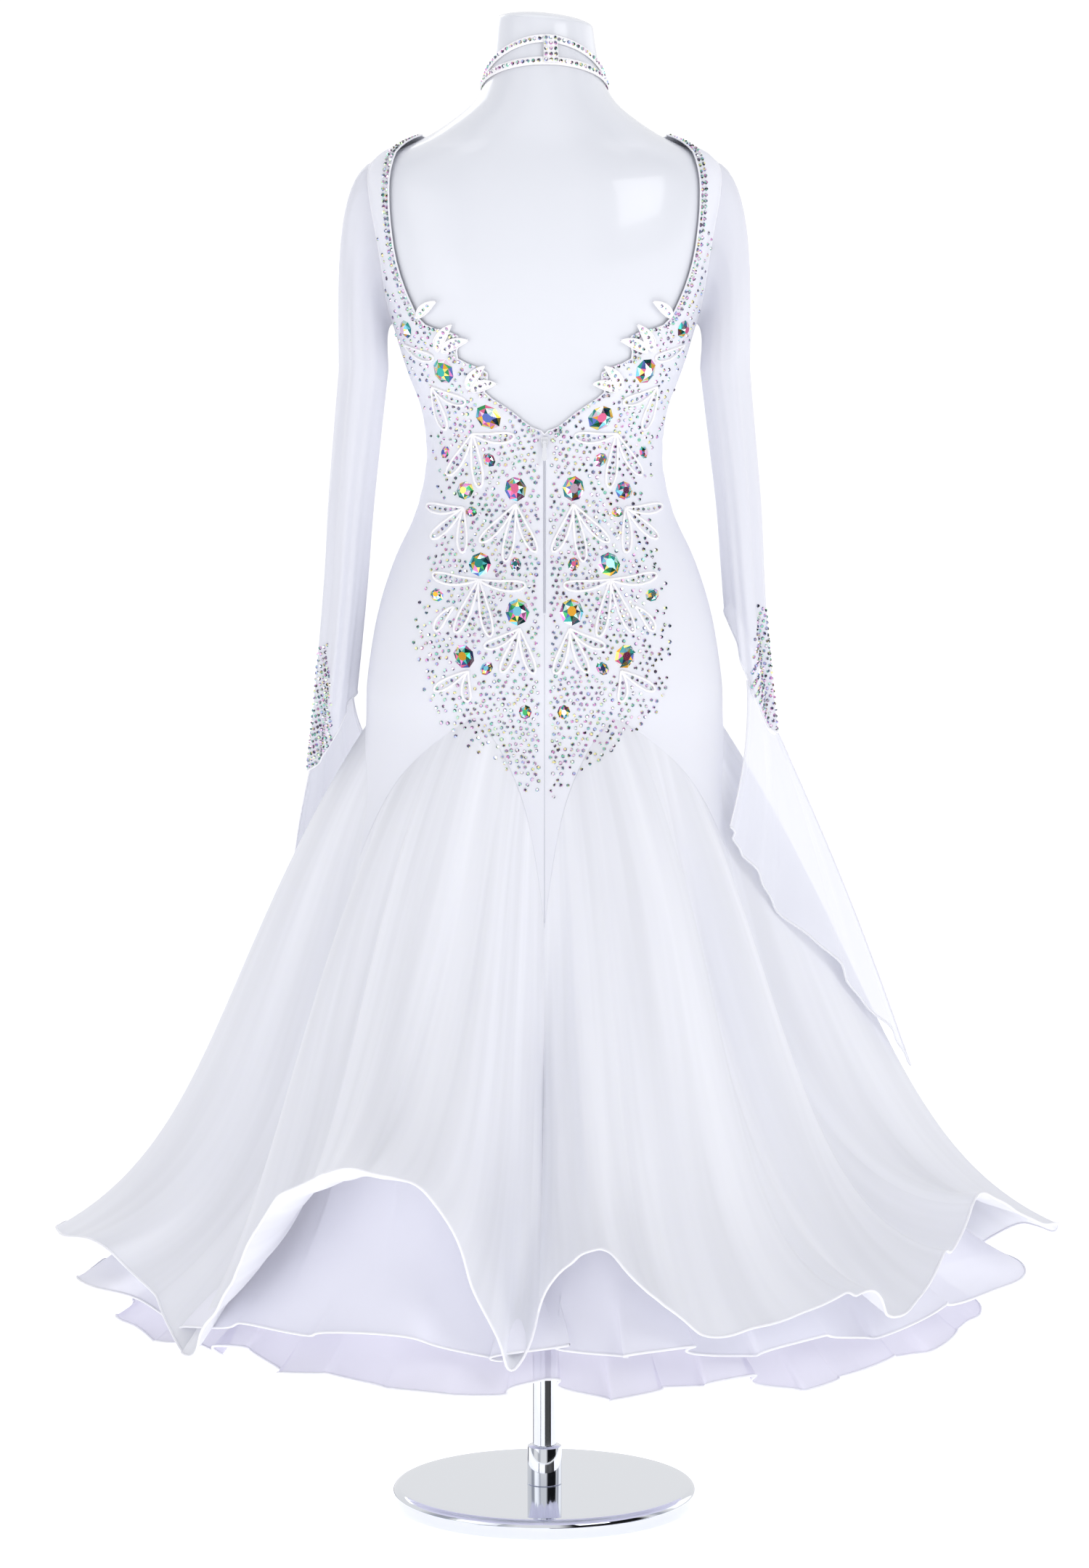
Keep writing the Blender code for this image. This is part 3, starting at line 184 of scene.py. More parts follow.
@dataclass(frozen=True)
class BodyShape:
    """Sections of the form and of the cloth over it: height, half width, back, front, squareness."""

    form: Table = Table((
        (0.751, 0.166, 0.100, 0.096, 2.3),
        (0.800, 0.181, 0.114, 0.105, 2.3),
        (0.840, 0.186, 0.118, 0.107, 2.3),
        (0.880, 0.185, 0.119, 0.107, 2.3),
        (0.914, 0.181, 0.117, 0.106, 2.25),
        (0.950, 0.175, 0.112, 0.104, 2.2),
        (0.985, 0.166, 0.103, 0.101, 2.2),
        (1.021, 0.153, 0.094, 0.097, 2.15),
        (1.059, 0.1355, 0.086, 0.093, 2.1),
        (1.098, 0.1250, 0.081, 0.090, 2.1),
        (1.131, 0.1220, 0.080, 0.091, 2.1),
        (1.175, 0.1275, 0.084, 0.099, 2.15),
        (1.213, 0.1410, 0.091, 0.114, 2.2),
        (1.253, 0.1530, 0.098, 0.126, 2.25),
        (1.291, 0.1630, 0.103, 0.121, 2.3),
        (1.331, 0.1710, 0.105, 0.104, 2.3),
        (1.371, 0.1790, 0.103, 0.087, 2.25),
        (1.401, 0.1830, 0.098, 0.074, 2.2),
        (1.421, 0.1810, 0.092, 0.065, 2.15),
        (1.436, 0.1700, 0.086, 0.058, 2.1),
        (1.446, 0.1510, 0.082, 0.053, 2.05),
        (1.456, 0.1280, 0.079, 0.049, 2.0),
        (1.472, 0.1020, 0.075, 0.046, 2.0),
        (1.491, 0.0780, 0.070, 0.044, 2.0),
        (1.508, 0.0660, 0.065, 0.043, 2.0),
        (1.525, 0.0590, 0.060, 0.043, 2.0),
        (1.552, 0.0540, 0.052, 0.046, 2.0),
        (1.576, 0.0510, 0.047, 0.049, 2.0),
    ))
    below_hip: tuple[Row, ...] = (
        (0.600, 0.246, 0.180, 0.165, 2.0),
        (0.660, 0.226, 0.160, 0.145, 2.05),
        (0.720, 0.208, 0.142, 0.128, 2.15),
        (0.780, 0.193, 0.126, 0.113, 2.25),
        (0.840, 0.186, 0.118, 0.107, 2.3),
    )
    ease_rows: Table = Table((
        (0.60, 0.0034, 0.0030),
        (0.90, 0.0034, 0.0030),
        (1.00, 0.0030, 0.0026),
        (1.10, 0.0020, 0.0026),
        (1.18, 0.0020, 0.0032),
        (1.25, 0.0022, 0.0050),
        (1.30, 0.0023, 0.0048),
        (1.36, 0.0023, 0.0040),
        (1.40, 0.0026, 0.0050),
        (1.43, 0.0034, 0.0066),
        (1.46, 0.0030, 0.0058),
    ))
    normal_turn: float = 0.6
    normal_rise: float = 0.0015

    def __post_init__(self) -> None:
        """Join the sections below the hip to those of the form."""
        object.__setattr__(self, "cloth", Table(self.below_hip + self.form.rows[3:]))

    def radius(self, sections: Table, azimuth: float, height: float) -> float:
        """Distance of a section's outline from the pole axis."""
        angle = math.radians(azimuth)
        across, fore = abs(math.sin(angle)), math.cos(angle)
        reach = sections.at(height, 2 if fore > 0.0 else 3)
        power = sections.at(height, 4)
        total = (across / sections.at(height, 1)) ** power + (abs(fore) / reach) ** power
        return total ** (-1.0 / power)

    def normal(self, sections: Table, azimuth: float, height: float) -> Vector:
        """Outward unit normal of the outline's surface."""
        ends = []
        for side in (1.0, -1.0):
            turned = azimuth + side * self.normal_turn
            ends.append(polar(turned, self.radius(sections, turned, height), height))
            level = height + side * self.normal_rise
            ends.append(polar(azimuth, self.radius(sections, azimuth, level), level))
        outward = (ends[1] - ends[3]).cross(ends[0] - ends[2]).normalized()
        here = polar(azimuth, 1.0, 0.0)
        return -outward if outward.dot(here) < 0.0 else outward

    def point(self, sections: Table, azimuth: float, height: float, lift: float) -> Vector:
        """Point over the outline, lifted along its normal."""
        here = polar(azimuth, self.radius(sections, azimuth, height), height)
        return here + self.normal(sections, azimuth, height) * lift

    def ease(self, azimuth: float, height: float) -> float:
        """How far the cloth stands off the form at a place."""
        fore = 0.5 + 0.5 * math.cos(math.radians(azimuth))
        return blend(self.ease_rows.at(height, 2), self.ease_rows.at(height, 1), fore)

    def over(self, azimuth: float, height: float, extra: float = MID_WALL) -> Vector:
        """Point of the cloth over the form, with some lift over its inner face."""
        return self.point(self.cloth, azimuth, height, self.ease(azimuth, height) + extra)


SHAPE = BodyShape()


@cache
def seam_place(azimuth: float, height: float) -> tuple[float, float]:
    """Distance from the pole axis and azimuth of the cloth's inner face over the form."""
    spot = SHAPE.over(azimuth, height, 0.0)
    return math.hypot(spot.x, spot.y), azimuth_of(spot)


def linear(code: str) -> tuple[float, float, float, float]:
    """Turn an sRGB hex colour into linear light with an alpha of one."""
    values = []
    for place in (0, 2, 4):
        level = int(code.lstrip("#")[place:place + 2], 16) / 255.0
        values.append(level / 12.92 if level <= 0.04045 else ((level + 0.055) / 1.055) ** 2.4)
    return values[0], values[1], values[2], 1.0


def add_node(tree: bpy.types.NodeTree, kind: str, **values: object) -> bpy.types.Node:
    """Add a node to a tree.

    Args:
        tree: Tree that gets the node.
        kind: Node type's name.
        values: Socket values by name with underscores for spaces, or node properties.

    Returns:
        The new node.
    """
    node = tree.nodes.new(kind)
    for name, value in values.items():
        socket = node.inputs.get(name.replace("_", " "))
        if socket is not None:
            socket.default_value = value
        else:
            setattr(node, name, value)
    return node


def join(tree: bpy.types.NodeTree, *pairs: tuple[bpy.types.NodeSocket, bpy.types.NodeSocket]) -> None:
    """Link outputs of a tree to inputs, pair by pair."""
    for output, target in pairs:
        tree.links.new(output, target)


def meshed(name: str, work: bmesh.types.BMesh, material: bpy.types.Material) -> bpy.types.Mesh:
    """Turn a mesh in the making into one with a material."""
    mesh = bpy.data.meshes.new(name)
    work.to_mesh(mesh)
    work.free()
    mesh.materials.append(material)
    return mesh


def once_round(columns: int) -> list[float]:
    """Azimuths of columns once round, closed by the first."""
    return [360.0 * (place % columns) / columns for place in range(columns + 1)]


def placed(name: str, data: bpy.types.ID) -> bpy.types.Object:
    """Make an object of some data and link it to the scene."""
    made = bpy.data.objects.new(name, data)
    bpy.context.scene.collection.objects.link(made)
    return made


@dataclass(frozen=True)
class Finish:
    """A material: colour, gloss and, for cloth, its thread pitch in metres; some carry a painted glow or
    painted crease shade.
    """

    name: str
    colour: str
    roughness: float
    metallic: float = 0.0
    coat: float = 0.0
    sheen: float = 0.0
    alpha: float = 1.0
    coat_blur: float = 0.05
    glow: float = 0.0
    # painted_glow: emission in the material's own colour, a painted glow that lifts its shaded parts
    painted_glow: float = 0.0
    pitch: float = 0.0
    relief: float = 0.0
    attribute: str = ""
    # crease_shade and the two fields below it: how dark, how stretched and how spread the painted crease
    # shade streaks are
    crease_shade: float = 0.0
    glow_reach: tuple[float, float, float] = (0.004, 0.004, 0.005)
    crease_shade_scale: tuple[float, float, float] = (15.0, 1.1, 1.0)
    crease_shade_ends: tuple[float, float] = (0.36, 0.62)

    def make(self) -> bpy.types.Material:
        """Build the material, or return the one already made."""
        found = bpy.data.materials.get(self.name)
        if found is not None:
            return found
        made = bpy.data.materials.new(self.name)
        made.use_nodes = True
        tree = made.node_tree
        shader = tree.nodes["Principled BSDF"]
        values = {"Base Color": linear(self.colour), "Roughness": self.roughness, "Metallic": self.metallic,
                  "Coat Weight": self.coat, "Coat Roughness": self.coat_blur, "Sheen Weight": self.sheen,
                  "Alpha": self.alpha}
        if self.glow > 0.0:
            values |= {"Subsurface Weight": self.glow, "Subsurface Radius": self.glow_reach}
        # Painted glow: the cloth or braid gives off a little light in its own colour, though it is no lamp
        if self.painted_glow > 0.0:
            values |= {"Emission Color": linear(self.colour), "Emission Strength": self.painted_glow}
        for name, value in values.items():
            shader.inputs[name].default_value = value
        if self.attribute:
            tint = add_node(tree, "ShaderNodeVertexColor", layer_name=self.attribute)
            join(tree, (tint.outputs["Color"], shader.inputs["Base Color"]))
        if self.pitch > 0.0:
            self.weave(tree, shader)
        made.diffuse_color = linear(self.colour)
        return made

    def weave(self, tree: bpy.types.NodeTree, shader: bpy.types.Node) -> None:
        """Raise the crossing threads of the cloth in the shading, from its own flat coordinates."""
        place = add_node(tree, "ShaderNodeUVMap", uv_map="UVMap")
        grain = add_node(tree, "ShaderNodeTexNoise", Scale=1.0 / self.pitch, Detail=2.0, Roughness=0.6)
        bump = add_node(tree, "ShaderNodeBump", Strength=self.relief, Distance=self.pitch * 0.25)
        join(tree, (place.outputs["UV"], grain.inputs["Vector"]),
             (grain.outputs["Fac"], bump.inputs["Height"]), (bump.outputs["Normal"], shader.inputs["Normal"]))
        if self.crease_shade > 0.0:
            self.paint_crease_shade(tree, shader, place)

    def paint_crease_shade(self, tree: bpy.types.NodeTree, shader: bpy.types.Node, place: bpy.types.Node) -> None:
        """Paint soft streaks of shade down the cloth's length: painted shade that stands for the fine creases
        of organza.
        """
        shade = [value * (1.0 - self.crease_shade) for value in linear(self.colour)[:3]]
        scaled = add_node(tree, "ShaderNodeMapping", Scale=self.crease_shade_scale)
        cloud = add_node(tree, "ShaderNodeTexNoise", Scale=1.0, Detail=3.0, Roughness=0.55)
        ramp = add_node(tree, "ShaderNodeValToRGB")
        for stop, position in zip(ramp.color_ramp.elements, self.crease_shade_ends):
            stop.position = position
        ramp.color_ramp.elements[0].color = (*shade, 1.0)
        ramp.color_ramp.elements[1].color = linear(self.colour)
        join(tree, (place.outputs["UV"], scaled.inputs["Vector"]),
             (scaled.outputs["Vector"], cloud.inputs["Vector"]), (cloud.outputs["Fac"], ramp.inputs["Fac"]),
             (ramp.outputs["Color"], shader.inputs["Base Color"]))


# Matt stretch crepe of the bodice: pale and soft, with a fine grain
CREPE = Finish("stretch_crepe_white", "#EEEFF6", 0.85, sheen=0.25, glow=0.10, pitch=0.0008, relief=0.25)
# Organza over satin in the godets: a quiet silky white, with a faint painted glow and soft streaks of painted
# crease shade
GODET = Finish("organza_over_satin", "#F3F4FA", 0.60, sheen=0.20, glow=0.12, painted_glow=0.02, crease_shade=0.10,
               pitch=0.0006, relief=0.12)
# Satin of the middle flounce, seen in the shade under the hem; a painted glow lifts that shade
SATIN = Finish("satin_flounce", "#EBEBF4", 0.50, sheen=0.2, alpha=0.94, painted_glow=0.11, pitch=0.0006, relief=0.08)
# Stiff net of the lowest flounce: a cool lilac grey, lifted in its shade by a painted glow
NET = Finish("stiff_net_lilac", "#E2E0EE", 0.75, alpha=0.88, painted_glow=0.07, pitch=0.0012, relief=0.25)
# Sheer stretch mesh of the sleeves
MESH = Finish("sheer_sleeve_mesh", "#EDEEF6", 0.55, sheen=0.15, alpha=0.90, pitch=0.0007, relief=0.12)
# Chiffon of the floats: thinner than the sleeves, with a painted glow that lifts its shaded parts
CHIFFON = Finish("chiffon_float", "#EFF0F8", 0.5, alpha=0.80, painted_glow=0.06, pitch=0.0006, relief=0.1)
# Satin-covered cord in every rolled hem: a bright edge line
CORD = Finish("satin_hem_cord", "#F6F6FB", 0.35, sheen=0.1)
# Twisted rayon braid sewn on as loops, with a painted glow that makes it stand out bright
BRAID = Finish("rayon_braid", "#F8F7F9", 0.42, sheen=0.2, painted_glow=0.08)
# Foil-backed cut glass: each facet mirrors its own pastel
CRYSTAL = Finish("coated_crystal", "#C8C0CC", 0.12, metallic=0.9, attribute="tint")
# Gloss lacquer on the glass-fibre form
SHELL = Finish("lacquered_shell", "#E7E9EF", 0.36, coat=0.60, coat_blur=0.10)
# Painted shade: grey lines that stand for the shaded gap of the closed zip and the groove of the closed seam
SEAM_SHADE = Finish("painted_seam_shade_grey", "#C4C6D0", 0.6)
# Polished chrome plate of the stand
CHROME = Finish("polished_chrome", "#D9DCE2", 0.05, metallic=1.0)
# White enamelled zip metal
ENAMEL = Finish("white_enamel_zip", "#E4E5EA", 0.25, metallic=0.3, coat=0.4)


class Piece:
    """One mesh in the making: grids and loose faces, then an object of the scene."""

    def __init__(self, name: str, finish: Finish) -> None:
        """Start an empty piece with its name and finish."""
        self.name = name
        self.finish = finish
        self.work = bmesh.new()
        self.flat = self.work.loops.layers.uv.new("UVMap")

    def grid(self, rows: Rows, closed: bool = False, outward: bool = True) -> None:
        """Add a grid moved to rows of points, with flat coordinates in metres.

        Args:
            rows: Points, row by row.
            closed: Whether the last column meets the first.
            outward: Whether faces are turned away from the pole, or from the grid's own middle if closed.
        """
        width, depth = len(rows[0]), len(rows)
        made = bmesh.ops.create_grid(self.work, x_segments=width - 1, y_segments=depth - 1, size=1.0)
        verts = made["verts"]
        for place, vertex in enumerate(verts):
            vertex.co = rows[place // width][place % width]
        down = [0.0]
        middle = width // 2
        for upper, lower in zip(rows, rows[1:]):
            down.append(down[-1] + (lower[middle] - upper[middle]).length)
        widest = rows[-1]
        along = [0.0]
        for left, right in zip(widest, widest[1:]):
            along.append(along[-1] + (right - left).length)
        spots = {vertex: (along[place % width], down[place // width]) for place, vertex in enumerate(verts)}
        faces = {face for vertex in verts for face in vertex.link_faces}
        flow = 0.0
        self.work.normal_update()
        centre = sum((vertex.co for vertex in verts), Vector()) / len(verts)
        for face in faces:
            for loop in face.loops:
                loop[self.flat].uv = spots[loop.vert]
            away = face.calc_center_median()
            away = away - centre if closed else Vector((away.x, away.y, 0.0))
            flow += face.normal.dot(away)
        if (flow < 0.0) == outward:
            bmesh.ops.reverse_faces(self.work, faces=list(faces))
        if closed:
            bmesh.ops.remove_doubles(self.work, verts=verts, dist=0.000001)

    def tube(self, path: list[Vector], radius: float, sides: int = 6, ring: bool = False) -> None:
        """Add a round cord along a path.

        Args:
            path: Points of its middle line.
            radius: Radius of the cord.
            sides: Sides of its section.
            ring: Whether the path's end meets its start.
        """
        count = len(path)
        side = Vector((0.31, 0.17, 0.94))
        rows: Rows = []
        for place, point in enumerate(path):
            before = path[place - 1] if place > 0 or ring else path[0]
            after = path[(place + 1) % count] if place < count - 1 or ring else path[-1]
            ahead = (after - before).normalized()
            side = (side - ahead * side.dot(ahead)).normalized()
            up = ahead.cross(side)
            row = []
            for step in range(sides + 1):
                angle = 2.0 * math.pi * (step % sides) / sides
                row.append(point + (side * math.cos(angle) + up * math.sin(angle)) * radius)
            rows.append(row)
        if ring:
            rows.append([spot.copy() for spot in rows[0]])
        self.grid(rows, closed=True)

    def finished(self, slot: str, replaced: tuple[str, ...] = (), smooth: bool = True) -> bpy.types.Object:
        """Turn the piece into an object that rides on the dress.

        Args:
            slot: Not used.
            replaced: CAD nodes that the piece stands for.
            smooth: Whether its faces are shaded smooth.

        Returns:
            The new object.
        """
        mesh = meshed(self.name, self.work, self.finish.make())
        if smooth:
            mesh.shade_smooth()
        made = placed(self.name, mesh)
        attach(made, BODY)
        if replaced:
            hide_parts(*replaced)
        LOG.info("%s: %d faces", self.name, len(mesh.polygons))
        return made


@dataclass(frozen=True)
class Cut:
    """The flat cut of a piece of cloth, and how it hangs."""

    width: float
    length: float
    area: float
    held: str
    rests_on: tuple[str, ...]

    def declare(self, made: bpy.types.Object, trims: list[bpy.types.Object]) -> None:
        """Read the names of the pieces that the cloth rests on, and take no other step."""
        list(self.rests_on)


Cords = list[tuple[list[Vector], float]]


def sewn(name: str, finish: Finish, slot: str, grids: list[Rows], trim_name: str, cords: Cords, cut: Cut,
         closed: bool = False) -> bpy.types.Object:
    """Build one piece of cloth with the cords along its edges.

    Args:
        name: CAD node that the cloth stands for.
        finish: Material of the cloth.
        slot: The record's material slot of cloth and cords.
        grids: Points of the cloth, one grid for each half or a single one.
        trim_name: Ending of the cords' name.
        cords: Path and radius of each cord.
        cut: Flat cut of the cloth.
        closed: Whether cloth and cords close on themselves.

    Returns:
        The cloth.
    """
    piece = Piece(name + "_cloth", finish)
    for rows in grids:
        piece.grid(rows, closed=closed)
    if len(grids) > 1:
        bmesh.ops.remove_doubles(piece.work, verts=list(piece.work.verts), dist=0.00001)
    made = piece.finished(slot, (name,))
    trim = Piece(name + trim_name, CORD)
    for path, radius in cords:
        trim.tube(path, radius, ring=closed)
    cut.declare(made, [trim.finished(slot)])
    return made


@dataclass(frozen=True)
class Skirt:
    """The top skirt and both under flounces: arches, and the lines that fall from them to the hems."""

    godets: tuple[tuple[str, float, float, float, float, float, float], ...] = (
        ("godet_back_left", 0.0, 0.640, 33.0, 0.852, 70.0, 0.705),
        ("godet_side_left", 70.0, 0.705, 90.0, 0.838, 110.0, 0.705),
        ("godet_front_left", 110.0, 0.705, 147.0, 0.852, 180.0, 0.640),
        ("godet_front_right", 180.0, 0.640, 213.0, 0.852, 250.0, 0.705),
        ("godet_side_right", 250.0, 0.705, 270.0, 0.838, 290.0, 0.705),
        ("godet_back_right", 290.0, 0.705, 327.0, 0.852, 360.0, 0.640),
    )
    # seam azimuth, hem azimuth, radius, height, end angle, start angle
    hem: Table = Table((
        (0.0, 1.0, 0.372, 0.285, 50.0, 14.0),
        (4.0, 4.5, 0.380, 0.226, 42.0, 18.0),
        (10.0, 9.5, 0.415, 0.320, 72.0, 26.0),
        (16.0, 14.5, 0.458, 0.415, 102.0, 31.0),
        (24.0, 22.0, 0.490, 0.442, 118.0, 27.0),
        (33.0, 31.0, 0.487, 0.410, 112.0, 33.0),
        (42.0, 40.0, 0.466, 0.335, 84.0, 36.0),
        (50.0, 48.0, 0.450, 0.262, 62.0, 36.0),
        (58.0, 55.0, 0.442, 0.217, 42.0, 32.0),
        (64.0, 61.5, 0.436, 0.224, 42.0, 22.0),
        (70.0, 68.0, 0.436, 0.262, 55.0, 13.0),
        (76.0, 75.0, 0.462, 0.290, 74.0, 24.0),
        (82.0, 82.0, 0.502, 0.300, 68.0, 31.0),
        (90.0, 90.0, 0.524, 0.300, 62.0, 33.0),
        (98.0, 98.0, 0.502, 0.284, 62.0, 31.0),
        (104.0, 105.0, 0.468, 0.254, 58.0, 23.0),
        (110.0, 112.0, 0.446, 0.230, 45.0, 13.0),
        (118.0, 120.0, 0.447, 0.232, 48.0, 24.0),
        (128.0, 130.0, 0.458, 0.285, 78.0, 32.0),
        (140.0, 141.0, 0.480, 0.345, 100.0, 34.0),
        (150.0, 150.5, 0.472, 0.345, 100.0, 33.0),
        (160.0, 160.0, 0.440, 0.285, 76.0, 29.0),
        (170.0, 169.5, 0.400, 0.232, 46.0, 20.0),
        (180.0, 180.0, 0.380, 0.224, 40.0, 12.0),
        (190.0, 190.5, 0.400, 0.232, 46.0, 20.0),
        (200.0, 200.0, 0.440, 0.285, 76.0, 29.0),
        (210.0, 209.5, 0.472, 0.345, 100.0, 33.0),
        (220.0, 219.0, 0.480, 0.345, 100.0, 34.0),
        (232.0, 230.0, 0.458, 0.285, 78.0, 32.0),
        (242.0, 240.0, 0.447, 0.232, 48.0, 24.0),
        (250.0, 248.0, 0.453, 0.232, 46.0, 13.0),
        (256.0, 255.0, 0.482, 0.255, 58.0, 23.0),
        (262.0, 262.0, 0.525, 0.288, 62.0, 31.0),
        (270.0, 270.0, 0.550, 0.295, 64.0, 33.0),
        (278.0, 280.0, 0.520, 0.328, 74.0, 31.0),
        (284.0, 286.5, 0.492, 0.352, 92.0, 24.0),
        (290.0, 293.0, 0.478, 0.365, 98.0, 13.0),
        (296.0, 299.5, 0.474, 0.325, 88.0, 25.0),
        (302.0, 306.0, 0.470, 0.280, 66.0, 28.0),
        (310.0, 313.5, 0.478, 0.278, 66.0, 17.0),
        (318.0, 321.0, 0.492, 0.312, 88.0, 33.0),
        (327.0, 330.0, 0.468, 0.282, 68.0, 36.0),
        (336.0, 338.5, 0.440, 0.270, 58.0, 34.0),
        (344.0, 346.0, 0.432, 0.312, 78.0, 32.0),
        (350.0, 351.5, 0.418, 0.348, 90.0, 26.0),
        (356.0, 357.0, 0.392, 0.342, 78.0, 18.0),
        (360.0, 361.0, 0.372, 0.285, 50.0, 14.0),
    ))
    # azimuth, radius, height, end angle
    middle: Table = Table((
        (0.0, 0.352, 0.238, 40.0),
        (12.0, 0.385, 0.246, 48.0),
        (27.0, 0.420, 0.264, 60.0),
        (43.0, 0.425, 0.258, 56.0),
        (58.0, 0.408, 0.236, 44.0),
        (70.0, 0.434, 0.238, 46.0),
        (90.0, 0.500, 0.254, 64.0),
        (110.0, 0.424, 0.234, 44.0),
        (130.0, 0.425, 0.248, 55.0),
        (150.0, 0.418, 0.252, 57.0),
        (170.0, 0.372, 0.236, 44.0),
        (180.0, 0.355, 0.233, 40.0),
        (190.0, 0.372, 0.236, 44.0),
        (210.0, 0.418, 0.252, 57.0),
        (230.0, 0.425, 0.248, 55.0),
        (250.0, 0.428, 0.234, 44.0),
        (270.0, 0.502, 0.254, 64.0),
        (290.0, 0.452, 0.246, 54.0),
        (304.0, 0.425, 0.240, 48.0),
        (318.0, 0.436, 0.250, 54.0),
        (333.0, 0.415, 0.244, 50.0),
        (348.0, 0.390, 0.248, 50.0),
        (360.0, 0.352, 0.238, 40.0),
    ))
    lowest: Table = Table((
        (0.0, 0.345, 0.208, 40.0),
        (14.0, 0.385, 0.200, 50.0),
        (28.0, 0.400, 0.212, 52.0),
        (42.0, 0.398, 0.209, 54.0),
        (56.0, 0.392, 0.218, 48.0),
        (72.0, 0.418, 0.203, 50.0),
        (90.0, 0.456, 0.208, 60.0),
        (108.0, 0.418, 0.204, 48.0),
        (126.0, 0.402, 0.213, 46.0),
        (144.0, 0.408, 0.201, 52.0),
        (162.0, 0.372, 0.212, 44.0),
        (180.0, 0.345, 0.203, 42.0),
        (198.0, 0.372, 0.212, 44.0),
        (216.0, 0.408, 0.201, 52.0),
        (234.0, 0.402, 0.213, 46.0),
        (252.0, 0.420, 0.204, 48.0),
        (270.0, 0.460, 0.208, 60.0),
        (288.0, 0.430, 0.203, 50.0),
        (304.0, 0.415, 0.204, 48.0),
        (318.0, 0.424, 0.200, 54.0),
        (332.0, 0.395, 0.213, 50.0),
        (346.0, 0.385, 0.200, 50.0),
        (360.0, 0.345, 0.208, 40.0),
    ))
    quarters: tuple[tuple[str, float], ...] = (
        ("back_left", 0.0), ("front_left", 90.0), ("front_right", 180.0), ("back_right", 270.0))
    start_lead: float = 0.46
    end_lead: float = 0.30
    middle_sewn_at: float = 0.44
    lowest_sewn_at: float = 0.26
    turn_in: float = 13.0
    middle_inset: float = 0.0016
    lowest_inset: float = 0.0020
    column_step: float = 0.5
    rows: int = 52
    cord_radius: float = 0.0015
    # waves in a turn, depth at the hem, phase
    ripples: tuple[Row, ...] = ((23.0, 0.0022, 0.6), (41.0, 0.0016, 2.1), (67.0, 0.0007, 4.0))
    # azimuth, side of the drop or 0 for a plain valley, depth, reach in degrees
    folds: tuple[Row, ...] = (
        (0.0, 0.0, 0.017, 2.6), (19.0, 0.0, 0.008, 4.5), (60.0, 1.0, 0.022, 9.0),
        (43.0, 1.0, 0.009, 7.0), (28.0, -1.0, 0.006, 6.0), (320.0, -1.0, 0.019, 9.0),
        (297.0, -1.0, 0.019, 8.0), (342.0, 0.0, 0.008, 4.0), (351.0, 1.0, 0.006, 4.0),
        (309.0, 0.0, 0.004, 3.0), (52.0, 0.0, 0.004, 3.0), (78.0, 0.0, 0.004, 3.0),
        (101.0, 1.0, 0.007, 6.0), (124.0, 0.0, 0.004, 4.0), (136.0, -1.0, 0.009, 8.0),
        (158.0, 1.0, 0.009, 8.0), (180.0, 0.0, 0.008, 3.0), (202.0, -1.0, 0.009, 8.0),
        (224.0, 1.0, 0.009, 8.0), (236.0, 0.0, 0.004, 4.0), (259.0, -1.0, 0.007, 6.0),
        (281.0, 0.0, 0.004, 3.0))
    step_width: float = 1.5
    fold_start: float = 0.36
    fold_fade: float = 0.55
    flute_start: float = 0.60
    flounce_rows: int = 32
    flounce_lead: float = 0.40
    flounce_tail: float = 0.30
    # share of the arch that bends softly and its power, then the power of the steep rest
    arch_bend: Row = (0.62, 1.4, 8.0)
    # waves in a turn, outward, sideways and upright swing of the flutes near a flounce's hem
    flutes: dict[Layer, Row] = field(default_factory=lambda: {
        Layer.TOP: (29.0, 0.0030, 0.0025, 0.0012), Layer.MIDDLE: (15.0, 0.0150, 0.0185, 0.0090),
        Layer.LOWEST: (22.0, 0.0110, 0.0110, 0.0060)})

    def fold(self, azimuth: float, share: float) -> float:
        """Depth of the long folds: plain valleys, and sharp edges behind which the cloth drops."""
        total = 0.0
        for centre, side, depth, reach in self.folds:
            turn = wrapped(azimuth - centre)
            if side == 0.0:
                total += depth * math.exp(-abs(turn) / reach)
                continue
            away = turn * side
            if away <= 0.0:
                continue
            rise = min(away / self.step_width, 1.0)
            past = max(away - self.step_width, 0.0) / reach
            total += depth * eased(rise) * math.exp(-past * past)
        return total * eased(min(share / self.fold_start, 1.0)) * (1.0 - self.fold_fade * share**3)

    def flute(self, layer: Layer, azimuth: float, share: float) -> tuple[float, float, float]:
        """Swing of a layer's cloth near its hem.

        Args:
            layer: Cloth of the skirt.
            azimuth: Azimuth of the line.
            share: Share of the way down the line.

        Returns:
            Outward, sideways and upright shifts in metres.
        """
        waves, outward, sideways, upright = self.flutes[layer]
        near = eased(max(0.0, (share - self.flute_start) / (1.0 - self.flute_start)))
        angle = math.radians(azimuth)
        uneven = 0.80 + 0.28 * math.sin(5.0 * angle + 1.1 + layer.value)
        uneven += 0.16 * math.sin(11.0 * angle + layer.value)
        phase = waves * angle + 1.3 * math.sin(3.0 * angle + layer.value)
        size = near * uneven
        return (size * outward * math.sin(phase), -size * sideways * math.sin(2.0 * phase),
                size * upright * math.sin(phase + 0.9))

    def arch(self, azimuth: float) -> float:
        """Height of the seam where gores end and godets begin."""
        azimuth = azimuth % 360.0
        row = next(row for row in self.godets if azimuth <= row[5])
        if azimuth <= row[3]:
            share, low = (row[3] - azimuth) / (row[3] - row[1]), row[2]
        else:
            share, low = (azimuth - row[3]) / (row[5] - row[3]), row[6]
        part, soft, steep = self.arch_bend
        return row[4] - (row[4] - low) * (part * share**soft + (1.0 - part) * share**steep)

